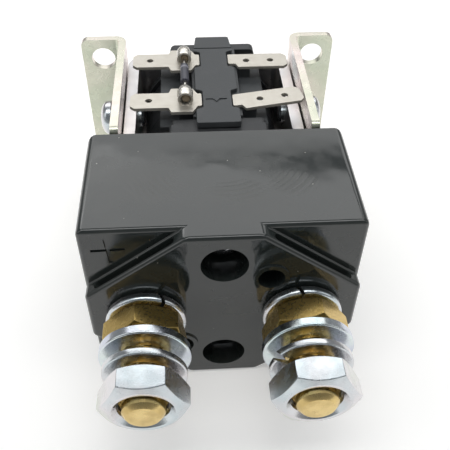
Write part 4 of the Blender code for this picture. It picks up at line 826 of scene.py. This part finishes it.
low, high = ends("contact_cover")
face_y = low.y + RING_HEIGHT
half_width = high.x
half_height = (high.z - low.z) / 2
cover = solid("moulded_cover", prism(rectangle(-half_width, low.z, half_width, high.z), face_y, high.y))
corner_walls = {}
for side in (-1, 1):
    for level in (-1, 1):
        top = Vector((side * FACE_TOP_WIDTH / 2, middle_z + level * half_height))
        flank = Vector((side * half_width, middle_z + level * FACE_SIDE_HEIGHT / 2))
        reach = (flank - top).normalized() * 6
        beyond = Vector((side * (half_width + 8), middle_z + level * (half_height + 8)))
        carve(cover, prism([top - reach, flank + reach, beyond], face_y - 4, face_y + CORNER_DEPTH))
        corner_walls[side, level] = (top, flank)
# The mould's edges differ: wide along the sides and at the rear corners, narrow at the stud face.
bm = bmesh.new()
bm.from_mesh(cover.data)
shares = bm.edges.layers.float.new("bevel_weight_edge")
for edge in bm.edges:
    middle = (edge.verts[0].co + edge.verts[1].co) * 500
    along = (edge.verts[1].co - edge.verts[0].co).normalized()
    at_side = abs(middle.x) > half_width - 0.1
    at_level = abs(middle.z - middle_z) > half_height - 0.1
    if edge.calc_face_angle(0.0) < 0.2:
        width = 0.0
    elif middle.y > high.y - 0.1:
        width = COVER_REAR_EDGE if abs(along.z) > 0.9 else 0.0
    elif abs(along.y) > 0.9 and at_side and at_level:
        width = COVER_LONG_EDGE
    elif edge.is_convex:
        width = COVER_EDGE
    else:
        width = COVER_FOOT
    edge[shares] = width / COVER_REAR_EDGE
bm.to_mesh(cover.data)
bm.free()
rounding = cover.modifiers.new("moulded edges", "BEVEL")
rounding.width = COVER_REAR_EDGE / 1000
rounding.segments = 5
rounding.limit_method = "WEIGHT"
bake(cover)
inner = half_width - COVER_WALL
chamber = rectangle(-inner, low.z + COVER_WALL, inner, high.z - COVER_WALL)
chamber_front = face_y + CORNER_DEPTH + COVER_WALL
carve(cover, prism(chamber, chamber_front, high.y + 2))
for level in (-1, 1):
    at = (0, middle_z + level * SCREW_PLACE)
    carve(cover, rod(PILLAR_RADIUS, face_y + CORNER_DEPTH, high.y - PILLAR_SETBACK, at), "UNION")
    at = (level * RINGED_PLACE[0], middle_z + level * RINGED_PLACE[1])
    boss_end = face_y + RINGED_DEPTH + BOSS_FLOOR
    carve(cover, rod(RINGED_RADIUS + BOSS_WALL, face_y + CORNER_DEPTH, boss_end, at), "UNION")
    carve(cover, rod(RINGED_RADIUS + RING_WALL, low.y, face_y + 2, at, sides=72), "UNION")
for level in (-1, 1):
    at = (level * RINGED_PLACE[0], middle_z + level * RINGED_PLACE[1])
    carve(cover, rod(RINGED_RADIUS, face_y - 2, face_y + RINGED_DEPTH, at, sides=64))
    at = (0, middle_z + level * SCREW_PLACE)
    carve(cover, rod(COUNTERBORE_RADIUS, face_y - 2, face_y + COUNTERBORE_DEPTH, at, sides=80))
    carve(cover, rod(SCREW_HOLE_RADIUS, face_y, high.y + 1, at, sides=40))
    carve(cover, rod(STUD_HOLE_RADIUS, face_y - 2, chamber_front + 1, (level * STUD_PLACE, middle_z)))
    top, flank = corner_walls[level, 1]
    middle = (top + flank) / 2
    along = (flank - top).normalized()
    outward = Vector((level, 1)) - along * Vector((level, 1)).dot(along)
    outward.normalize()
    mouth = rectangle(-POCKET_LENGTH / 2, -POCKET_WIDTH / 2, POCKET_LENGTH / 2, POCKET_WIDTH / 2)
    mouth = round_off(mouth, POCKET_WIDTH * 0.48, steps=4)
    pocket_y = face_y + CORNER_DEPTH / 2 + POCKET_SETBACK
    loops = []
    for reach in (-POCKET_DEPTH, 2.0):
        base = middle + outward * reach
        loops.append([Vector((base.x + along.x * u, pocket_y + v, base.y + along.y * u)) for u, v in mouth])
    carve(cover, loft(loops))
for start, finish, width in PLUS_LINES:
    arm = strip_outline([Vector((x, middle_z + z)) for x, z in (start, finish)], width)
    carve(cover, prism(arm, face_y + CORNER_DEPTH - 2, face_y + CORNER_DEPTH + PLUS_DEPTH))
soften(cover, 0.18, 2, 50)

# Phenolic: nearly black, a hard polish with dust, finger smears and a few rub marks in it.
phenolic, tree, place = new_material("polished_black_phenolic")
geometry = add(tree, "NewGeometry")
facing = add(tree, "SeparateXYZ", {0: geometry.outputs["Normal"]})
upward = add(tree, "MapRange", {"Value": facing.outputs[2], 1: 0.8, 2: 0.98, 3: 0.0, 4: 1.0})
haze = add(tree, "TexNoise", {"Vector": place, "Scale": 1000 / 16, "Detail": 4.0, "Roughness": 0.6})
hazy = add(tree, "MapRange", {"Value": haze, 1: 0.45, 2: 0.68, 3: 0.0, 4: 1.0})
# Finger ridges are 0.5 mm apart, drawn at 0.7 mm. They show only in a few oval touches.
ridges = add(
    tree, "TexWave",
    {"Vector": place, "Scale": 1000 / 0.7 / tau, "Distortion": 9.0, "Detail": 1.0, "Detail Scale": 0.35},
    wave_type="RINGS", rings_direction="Z",
)
touches = None
for x, y, wide, deep in ((3.5, -14.5, 6.5, 4.2), (15.5, -12.0, 5.5, 4.0), (-14.0, -12.5, 6.5, 5.0)):
    away = add(tree, "VectorMath", {0: place, 1: (x / 1000, y / 1000, high.z / 1000)}, operation="SUBTRACT")
    stretched = add(
        tree, "VectorMath", {0: away, 1: (1000 / wide, 1000 / deep, 0.0)}, operation="MULTIPLY",
    )
    reach = add(tree, "VectorMath", {0: stretched}, operation="LENGTH")
    oval = add(tree, "MapRange", {"Value": reach.outputs["Value"], 1: 0.55, 2: 1.1, 3: 1.0, 4: 0.0})
    if touches is None:
        touches = oval
    else:
        touches = add(tree, "Math", {0: touches, 1: oval}, operation="MAXIMUM")
printed = add(tree, "Math", {0: ridges.outputs["Fac"], 1: touches}, operation="MULTIPLY")
printed = add(tree, "Math", {0: printed, 1: upward}, operation="MULTIPLY")
smear = add(tree, "Math", {0: hazy, 1: 0.35}, operation="MULTIPLY")
dulled = add(tree, "Math", {0: printed, 1: 0.5, 2: smear}, operation="MULTIPLY_ADD")
# Dust specks of 0.1 to 0.3 mm, sparse and pale.
specks = add(tree, "TexVoronoi", {"Vector": place, "Scale": 1000 / 2.2})
speck = add(tree, "MapRange", {"Value": specks, 1: 0.05, 2: 0.07, 3: 1.0, 4: 0.0})
sparse = add(tree, "SeparateXYZ", {0: specks.outputs["Color"]})
chosen = add(tree, "Math", {0: sparse, 1: 0.82}, operation="GREATER_THAN")
dust = add(tree, "Math", {0: speck, 1: chosen}, operation="MULTIPLY")
resin = add(tree, "Mix", {0: dulled, 6: linear("#272c2b"), 7: linear("#3c3e3a")}, data_type="RGBA")
tone = add(tree, "Mix", {0: dust, 6: resin.outputs[2], 7: linear("#a5a39b")}, data_type="RGBA")
gloss = add(tree, "MapRange", {"Value": dulled, 1: 0.0, 2: 0.8, 3: 0.07, 4: 0.3})
flow = add(tree, "TexNoise", {"Vector": place, "Scale": 1000 / 9, "Detail": 1.0})
relief = add(tree, "Bump", {"Height": flow, "Strength": 0.25, "Distance": 0.0003})
relief = add(tree, "Bump", {"Height": printed, "Strength": 0.2, "Distance": 0.00003, "Normal": relief})
shader = add(
    tree, "BsdfPrincipled",
    {"Base Color": tone.outputs[2], "Roughness": gloss, "IOR": 1.6, "Normal": relief},
)
add(tree, "OutputMaterial", {"Surface": shader})
settle(cover, phenolic, "housing", "cover_moulding", "contact_cover")
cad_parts["insulating_base"].data.materials[0] = phenolic


# Cover screws: M4 pan heads deep in the two counterbores, bright zinc with a cross recess.
SCREW_HEAD_RADIUS = 4.1
SCREW_CROWN_RADIUS = 2.6
SCREW_DOME = 0.9
SCREW_SHANK_RADIUS = 2.0
SCREW_HEAD_HEIGHT = 3.0
RECESS_LENGTH = 4.4
RECESS_WIDTH = 1.1
RECESS_DEPTH = 1.4

# Bright zinc with a faint blue film: the whitest plating here, almost mirror-like on its flats.
bright_zinc = plated_zinc("blue_bright_zinc_plate", ["#d0d4d5", "#bfc8cc", "#d3d0d2", "#c3c8bd"], 0.22, 9)


def recess(centre, face, depth, axis, turn):
    """A tapered cross, for cutting into a screw's head."""
    shapes = []
    for quarter in range(2):
        loops = []
        for along, share in ((face + depth, 0.55), (face - depth * 0.4, 1.1)):
            half, thick = RECESS_LENGTH / 2 * share, RECESS_WIDTH / 2 * share
            corners = rectangle(-half, -thick, half, thick)
            spun = Matrix.Rotation(turn + quarter * pi / 2, 2)
            points = [spun @ Vector(corner) + Vector(centre) for corner in corners]
            loops.append([spot(point.x, point.y, along, axis) for point in points])
        shapes.append(loops)
    return shapes


for word in ("top", "bottom"):
    low, high = ends("cover_screw_" + word)
    at = (0, (low.z + high.z) / 2)
    seat = low.y + SCREW_HEAD_HEIGHT
    crown = low.y + 0.02
    slope = SCREW_HEAD_RADIUS - SCREW_CROWN_RADIUS
    profile = [(low.y, 0), (crown, SCREW_CROWN_RADIUS)]
    for turn in (step * pi / 12 for step in range(7)):
        profile.append((crown + SCREW_DOME * (1 - cos(turn)), SCREW_CROWN_RADIUS + slope * sin(turn)))
    profile += [(seat, SCREW_HEAD_RADIUS), (seat, SCREW_SHANK_RADIUS)]
    profile += [(high.y - 0.5, SCREW_SHANK_RADIUS), (high.y, SCREW_SHANK_RADIUS - 0.5), (high.y, 0)]
    screw = solid("pan_head_screw_" + word, turned(profile, at, steps=64))
    for loops in recess(at, low.y, RECESS_DEPTH, "Y", radians(30)):
        carve(screw, loft(loops))
    soften(screw, 0.06, 1, 40)
    settle(screw, bright_zinc, "housing", "zinc", "cover_screw_" + word)


# Studs: M10 x 1.5 brass studs with a turned-down nose, screwed full of thread up to the cover.
# The thread is rolled, so its crests are round and polished.
THREAD_PITCH = 1.5
THREAD_DEPTH = 0.85
STUD_RADIUS = 5.0
NECK_RADIUS = 4.3
NOSE_RADIUS = 3.35
NECK_LENGTH = 2.6
STUD_HEAD_RADIUS = 7.5
STUD_HEAD_THICKNESS = 3.5

# Turned brass: warm yellow, bright on its edges, browner where hands and air have dulled it.
stud_brass = turned_metal("turned_free_cutting_brass", "#d9c084", "#a08650", 0.25, STUD_PLACE)


def thread_radius(along, start, end):
    """The stud's radius at a turn: a helix between start and end that runs in and out over one pitch."""

    def reach(turn):
        wave = (along / THREAD_PITCH - turn / tau) % 1.0
        groove = min(1.0, max(0.0, abs(2 * wave - 1) * 1.35 - 0.15))
        fade = min(1.0, max(0.0, (along - start) / THREAD_PITCH), max(0.0, (end - along) / THREAD_PITCH))
        return STUD_RADIUS - THREAD_DEPTH * fade * (1 - groove)

    return reach


for side, word in ((-1, "left"), (1, "right")):
    low, high = ends("stud_" + word)
    at = (side * STUD_PLACE, middle_z)
    head = high.y - STUD_HEAD_THICKNESS
    thread_start = low.y + NECK_LENGTH
    chamfer = NECK_RADIUS - NOSE_RADIUS
    profile = [(low.y, 0), (low.y, NOSE_RADIUS - 0.1), (low.y + 0.08, NOSE_RADIUS + 0.08)]
    profile += [(low.y + chamfer - 0.1, NECK_RADIUS - 0.12), (low.y + chamfer + 0.08, NECK_RADIUS)]
    profile += [(thread_start, NECK_RADIUS)]
    thread_start += STUD_RADIUS - NECK_RADIUS
    thread_end = face_y - 0.5
    rows = round((thread_end - thread_start) / THREAD_PITCH * 10)
    for row in range(rows + 1):
        along = thread_start + (thread_end - thread_start) * row / rows
        profile.append((along, thread_radius(along, thread_start - THREAD_PITCH, thread_end)))
    profile += [(head, STUD_RADIUS), (head, STUD_HEAD_RADIUS), (high.y, STUD_HEAD_RADIUS), (high.y, 0)]
    stud = solid("threaded_stud_" + word, turned(profile, at, steps=72))
    settle(stud, stud_brass, "housing", "brass", "stud_" + word, crease=30)


# Nuts: two hexagon nuts on each stud, 16 mm across flats, cut from drawn bar and chamfered at both
# ends. The inner one is brass and the outer one is steel with bright zinc.
NUT_FLAT_RADIUS = 8.0
NUT_CORNER_ROUND = 0.25
NUT_FACE_RADIUS = 7.15
NUT_BORE_RADIUS = 5.3
NUT_SINK = 1.0
NUT_EDGE = 0.12


def hex_nut(name, low, high, at, turn):
    """A nut along Y, a loop of points for each line round it from the bore out and back."""
    corners = arc((0, 0), NUT_FLAT_RADIUS / cos(pi / 6), turn, turn + tau, 6)[:-1]
    sharp = round_off(corners, NUT_CORNER_ROUND, steps=3)
    outline = []
    for index, point in enumerate(sharp):
        ahead = sharp[(index + 1) % len(sharp)]
        cuts = 14 if (ahead - point).length > 3 else 1
        outline += [point.lerp(ahead, cut / cuts) for cut in range(cuts)]
    slope = tan(radians(30))

    def ring(along, reach):
        points = [Vector(at) + point.normalized() * reach for point in outline]
        return [spot(point.x, point.y, along, "Y") for point in points]

    def edge(end, inward, out, along):
        """A line near the curved edge between a flat and the chamfer."""
        loop = []
        for point in outline:
            depth = max(0.0, point.length - NUT_FACE_RADIUS) * slope
            shrink = (point.length - out) / point.length
            y = end + inward * (depth + along)
            loop.append(spot(at[0] + point.x * shrink, at[1] + point.y * shrink, y, "Y"))
        return loop

    loops = []
    for end, inward, order in ((low, 1, 1), (high, -1, -1)):
        half = [
            ring(end + inward * NUT_SINK, NUT_BORE_RADIUS),
            ring(end + inward * 0.06, NUT_BORE_RADIUS + NUT_SINK - 0.1),
            ring(end, NUT_BORE_RADIUS + NUT_SINK + 0.1), ring(end, NUT_FACE_RADIUS - 0.15),
            edge(end, inward, NUT_EDGE, -NUT_EDGE * slope + 0.02),
            edge(end, inward, NUT_EDGE * 0.25, NUT_EDGE * 0.45), edge(end, inward, 0.0, NUT_EDGE * 1.5),
        ]
        loops += half[::order]
    return solid(name, loft(loops, closed=True))


def drawn_bar(name, flat, dark, roughness):
    """Brass bar stock: drawn lines along the nut's axis, and a brown bloom on the dull side."""
    material, tree, place = new_material(name)
    # Drawing lines are about 0.05 mm apart, drawn at 0.2 mm.
    long = add(tree, "Mapping", {"Vector": place, "Scale": (1.0, 0.08, 1.0)})
    lines = add(tree, "TexNoise", {"Vector": long, "Scale": 1000 / 0.2, "Detail": 3.0})
    bloom = add(tree, "TexNoise", {"Vector": place, "Scale": 1000 / 0.7, "Detail": 5.0, "Roughness": 0.7})
    share = add(tree, "MapRange", {"Value": bloom, 1: 0.35, 2: 0.75, 3: 0.0, 4: 0.6})
    tone = add(tree, "Mix", {0: share, 6: linear(flat), 7: linear(dark)}, data_type="RGBA")
    gloss = add(
        tree, "MapRange", {"Value": bloom, 1: 0.3, 2: 0.7, 3: roughness - 0.05, 4: roughness + 0.1},
    )
    relief = add(tree, "Bump", {"Height": lines, "Strength": 0.3, "Distance": 0.00003})
    shader = add(
        tree, "BsdfPrincipled",
        {"Base Color": tone.outputs[2], "Metallic": 1.0, "Roughness": gloss, "Normal": relief},
    )
    add(tree, "OutputMaterial", {"Surface": shader})
    return material


nut_brass = drawn_bar("drawn_brass_bar", "#d4b873", "#9a7a3c", 0.27)
for side, word, corner in ((-1, "left", 100), (1, "right", 72)):
    at = (side * STUD_PLACE, middle_z)
    low, high = ends("brass_nut_" + word)
    nut = hex_nut("inner_nut_" + word, low.y, high.y, at, radians(corner))
    settle(nut, nut_brass, "housing", "brass", "brass_nut_" + word, crease=20)
    low, high = ends("steel_nut_" + word)
    nut = hex_nut("outer_nut_" + word, low.y, high.y, at, radians(0))
    settle(nut, bright_zinc, "housing", "zinc", "steel_nut_" + word, crease=20)


# Washers: on each stud a split washer under the brass nut, a plain stamped washer over it, and a
# split washer under the outer nut. All are zinc plated steel, the plain ones with a blue film.
WASHER_BORE_RADIUS = 5.3
SPLIT_GAP = 1.1
SPLIT_LEAN = 25


def split_washer(name, inner, outer, low, high, at, slit, gap, axis="Y", spring=0.0, rim=0.35):
    """A ring of spring steel cut on a slant, its two ends sprung a little apart along the axis."""
    thickness = high - low
    middle = (inner + outer) / 2
    rim = min(rim, thickness * 0.36)
    section = round_off(rectangle(inner, -thickness / 2, outer, thickness / 2), rim, steps=3)
    loops = []
    steps = 90
    for step in range(steps + 1):
        loop = []
        for radius, along in section:
            start = (gap / 2 + along * tan(radians(SPLIT_LEAN))) / middle
            end = tau - (gap / 2 - along * tan(radians(SPLIT_LEAN))) / middle
            turn = slit + start + (end - start) * step / steps
            lift = along * (1 - spring) + spring * thickness * (step / steps - 0.5)
            across = at[0] + radius * cos(turn)
            up = at[1] + radius * sin(turn)
            loop.append(spot(across, up, (low + high) / 2 + lift, axis))
        loops.append(loop)
    return solid(name, loft(loops))


blue_film_zinc = plated_zinc("blue_film_zinc_plate", ["#a6c3cb", "#d4dcdb", "#bfc2d0", "#d0dccf"], 0.2, 7)
for side, word, seat_slit, outer_slit in ((-1, "left", 64, -70), (1, "right", 98, 150)):
    at = (side * STUD_PLACE, middle_z)
    low, high = ends("seat_washer_" + word)
    radius = (high.x - low.x) / 2
    ring = split_washer(
        "seat_ring_" + word, WASHER_BORE_RADIUS, radius, low.y, high.y, at, radians(seat_slit), 0.7, rim=0.8
    )
    settle(ring, bright_zinc, "housing", "zinc", "seat_washer_" + word, crease=50)
    low, high = ends("spring_washer_" + word)
    ring = split_washer(
        "spring_ring_" + word, WASHER_BORE_RADIUS, radius, low.y, high.y, at, radians(outer_slit),
        SPLIT_GAP, spring=0.3, rim=0.45,
    )
    settle(ring, bright_zinc, "housing", "zinc", "spring_washer_" + word, crease=50)
    low, high = ends("flat_washer_" + word)
    radius = (high.x - low.x) / 2
    section = [(low.y, WASHER_BORE_RADIUS), (low.y, radius), (high.y, radius), (high.y, WASHER_BORE_RADIUS)]
    section = round_off(section, [0.15, 0.45, 0.15, 0.3], steps=4)
    profile = [tuple(point) for point in section]
    flat = solid("plain_washer_" + word, turned(profile, at, steps=128, closed=True))
    settle(flat, blue_film_zinc, "housing", "zinc", "flat_washer_" + word)


# Mounting angles: 2 mm steel strip bent once, sheared square with its corners nipped round, and
# pierced. The yellow-green film of its passivation drifts to pink, most of all near the edges.
BRACKET_SHEET = 2.0
BRACKET_BEND_RADIUS = 2.0
BRACKET_CORNER = 2.0
BRACKET_HOLE_RADIUS = 3.25
BRACKET_HOLE_INSET = 5.8
BRACKET_SCREW_HOLE = 2.8

passivated = plated_zinc(
    "rainbow_passivated_zinc_plate", ["#d5d7cb", "#c5cab7", "#dad6c8", "#dfd0cd", "#c6d1cf"], 0.27, 16,
)
for side, word in ((-1, "left"), (1, "right")):
    low, high = ends("bracket_" + word)
    inset = BRACKET_SHEET / 2
    near = low.x if side > 0 else high.x
    far = high.x if side > 0 else low.x
    line = [(near + side * inset, low.y), (near + side * inset, high.y - inset), (far, high.y - inset)]
    line = round_off(line, BRACKET_BEND_RADIUS, closed=False, steps=10)
    bent = strip_outline(line, BRACKET_SHEET)
    angle_plate = solid("mounting_angle_" + word, prism(bent, low.z, high.z, "Z"))
    # The corners are nipped with two rounded outlines, one seen along X and one along Y.
    leg = rectangle(low.y, low.z, high.y + 5, high.z)
    leg = round_off(leg, [BRACKET_CORNER, 0, 0, BRACKET_CORNER])
    carve(angle_plate, prism(leg, low.x - 1, high.x + 1, "X"), "INTERSECT")
    flange = rectangle(near - side * 5, low.z, far, high.z)
    flange = round_off(flange, [0, BRACKET_CORNER, BRACKET_CORNER, 0])
    carve(angle_plate, prism(flange, low.y - 1, high.y + 1), "INTERSECT")
    for level, level_word in ((-1, "lower"), (1, "upper")):
        at = axis_place("bracket_screw_%s_%s" % (word, level_word))
        carve(angle_plate, rod(BRACKET_SCREW_HOLE, near - 3, near + 3, at, "X", 40))
        at = (far - side * BRACKET_HOLE_INSET, low.z + BRACKET_HOLE_INSET)
        if level > 0:
            at = (at[0], high.z - BRACKET_HOLE_INSET)
        carve(angle_plate, rod(BRACKET_HOLE_RADIUS, high.y - 4, high.y + 2, at, sides=72))
    soften(angle_plate, 0.2, 2)
    settle(angle_plate, passivated, "housing", "passivated_zinc", "bracket_" + word)


# Angle screws: M5 pan heads with a cross recess, each over a split washer, hold an angle to a side
# of the frame. They are bright zinc like the cover's.
ANGLE_HEAD_RADIUS = 4.5
ANGLE_SHANK_RADIUS = 2.5
ANGLE_HEAD_HEIGHT = 3.2
LOCK_BORE_RADIUS = 2.8
LOCK_RADIUS = 4.6
LOCK_GAP = 0.8

for side, word in ((-1, "left"), (1, "right")):
    for level_word in ("upper", "lower"):
        node = "bracket_screw_%s_%s" % (word, level_word)
        low, high = ends(node)
        at = axis_place(node)
        top, tip = (high.x, low.x) if side > 0 else (low.x, high.x)
        seat = top - side * ANGLE_HEAD_HEIGHT * 0.95
        profile = [(tip, 0), (tip, ANGLE_SHANK_RADIUS - 0.6), (tip + side * 0.6, ANGLE_SHANK_RADIUS)]
        profile += [(seat, ANGLE_SHANK_RADIUS), (seat, ANGLE_HEAD_RADIUS - 0.15)]
        profile += [(seat + side * 0.15, ANGLE_HEAD_RADIUS), (seat + side * 1.0, ANGLE_HEAD_RADIUS)]
        dome = abs(top - seat) - 1.0
        for step in range(1, 9):
            turn = step * pi / 16
            profile.append((seat + side * (1.0 + dome * sin(turn)), ANGLE_HEAD_RADIUS * cos(turn) ** 0.8))
        screw = solid("angle_screw_%s_%s" % (word, level_word), turned(profile, at, "X", 64))
        for loops in recess(at, top, -side * RECESS_DEPTH, "X", radians(20)):
            carve(screw, loft(loops))
        soften(screw, 0.06, 1, 45)
        settle(screw, bright_zinc, "housing", "zinc", node)
        node = "bracket_lock_washer_%s_%s" % (word, level_word)
        low, high = ends(node)
        name = "lock_ring_%s_%s" % (word, level_word)
        ring = split_washer(
            name, LOCK_BORE_RADIUS, LOCK_RADIUS, low.x, high.x, at, radians(60), LOCK_GAP, "X"
        )
        settle(ring, bright_zinc, "housing", "zinc", node, crease=50)


# Floor: a sheet of white card, seen a little whiter by the camera than it lights the piece, so that
# it reads as the photograph's white ground and still keeps the shadow.
floor = solid("card_floor", prism(rectangle(-500, -500, 500, 500), -4, -0.02, "Z"))
card, tree, place = new_material("white_card")
fibre = add(tree, "TexNoise", {"Vector": place, "Scale": 1000 / 40, "Detail": 3.0})
tone = add(tree, "Mix", {0: fibre, 6: linear("#f1f0ee"), 7: linear("#f4f3f1")}, data_type="RGBA")
paper = add(tree, "BsdfDiffuse", {"Color": tone.outputs[2]})
path = add(tree, "LightPath")
seen = add(tree, "Math", {0: path.outputs["Is Camera Ray"], 1: 0.32}, operation="MULTIPLY")
seen = add(tree, "Math", {0: path.outputs["Is Glossy Ray"], 1: 0.4, 2: seen}, operation="MULTIPLY_ADD")
glow = add(tree, "Emission", {"Color": (1.0, 1.0, 1.0, 1.0), "Strength": seen})
blend = add(tree, "AddShader", {0: paper, 1: glow})
add(tree, "OutputMaterial", {"Surface": blend})
floor.data.materials.append(card)


# Lamps: two softboxes behind, with a narrow gap that the cover's top mirrors as a dark streak, a
# strip lamp overhead, two small ones at the sides, and a pale room. Together they light a white
# card to about white.
COVER_TOP = (0.0, -0.015, 0.047)


def softbox(name, place, aim, width, height, light, roll=0.0):
    """A rectangular lamp of that brightness at its face, turned to its aim."""
    lamp = bpy.data.lights.new(name, "AREA")
    lamp.shape = "RECTANGLE"
    lamp.size = width
    lamp.size_y = height
    lamp.energy = 4 * width * height * light
    holder = bpy.data.objects.new(name, lamp)
    holder.location = place
    facing = (Vector(aim) - Vector(place)).to_track_quat("-Z", "Y").to_matrix().to_4x4()
    holder.rotation_euler = (facing @ Matrix.Rotation(roll, 4, "Z")).to_euler()
    bpy.context.scene.collection.objects.link(holder)
    return holder


softbox("softbox_back_low", (0.0, 0.838, 0.570), COVER_TOP, 1.5, 0.24, 1.1)
softbox("softbox_back_high", (0.0, 0.621, 0.819), COVER_TOP, 1.4, 0.41, 1.45, radians(-7))
softbox("softbox_over", (0.0, -0.12, 0.9), (0, 0, 0.03), 1.1, 0.3, 2.6)
softbox("softbox_left", (-0.75, -0.2, 0.55), (0, 0, 0.02), 0.4, 0.6, 0.9)
softbox("softbox_right", (0.8, -0.1, 0.45), (0, 0, 0.02), 0.3, 0.5, 0.7)

room = bpy.data.worlds.new("pale_room")
room.use_nodes = True
tree = room.node_tree
tree.nodes.clear()
direction = add(tree, "TexCoord").outputs["Generated"]
parts = add(tree, "SeparateXYZ", {0: direction})
height = add(tree, "MapRange", {"Value": parts.outputs[2], 1: -0.1, 2: 0.7, 3: 0.0, 4: 1.0})
walls = add(tree, "Mix", {0: height, 6: linear("#a6a6a5"), 7: linear("#74777a")}, data_type="RGBA")
path = add(tree, "LightPath")
seen = add(
    tree, "Mix", {0: path.outputs["Is Camera Ray"], 6: walls.outputs[2], 7: (1.0, 1.0, 1.0, 1.0)},
    data_type="RGBA",
)
sky = add(tree, "Background", {"Color": seen.outputs[2], "Strength": 1.0})
add(tree, "OutputWorld", {"Surface": sky})
bpy.context.scene.world = room


# Camera: a normal lens above the front of the piece, tipped down at 45 degrees.
CAMERA_PLACE = (-0.0062442, -0.1130223, 0.1364497)
CAMERA_TIP = 0.786454
CAMERA_YAW = 0.071957
CAMERA_ROLL = 0.0145125
CAMERA_LENS = 51.12

forward = Vector((sin(CAMERA_YAW) * cos(CAMERA_TIP), cos(CAMERA_YAW) * cos(CAMERA_TIP), -sin(CAMERA_TIP)))
right = Vector((cos(CAMERA_YAW), -sin(CAMERA_YAW), 0.0))
up = right.cross(forward)
rolled_right = right * cos(CAMERA_ROLL) + up * sin(CAMERA_ROLL)
rolled_up = up * cos(CAMERA_ROLL) - right * sin(CAMERA_ROLL)
lens = bpy.data.cameras.new("camera")
lens.lens = CAMERA_LENS
lens.sensor_width = 36.0
lens.clip_start = 0.01
camera = bpy.data.objects.new("camera", lens)
camera.matrix_world = (
    Matrix.Translation(CAMERA_PLACE)
    @ Matrix((rolled_right, rolled_up, -forward)).transposed().to_4x4()
)
bpy.context.scene.collection.objects.link(camera)
bpy.context.scene.camera = camera
bpy.context.scene.view_settings.view_transform = "Standard"
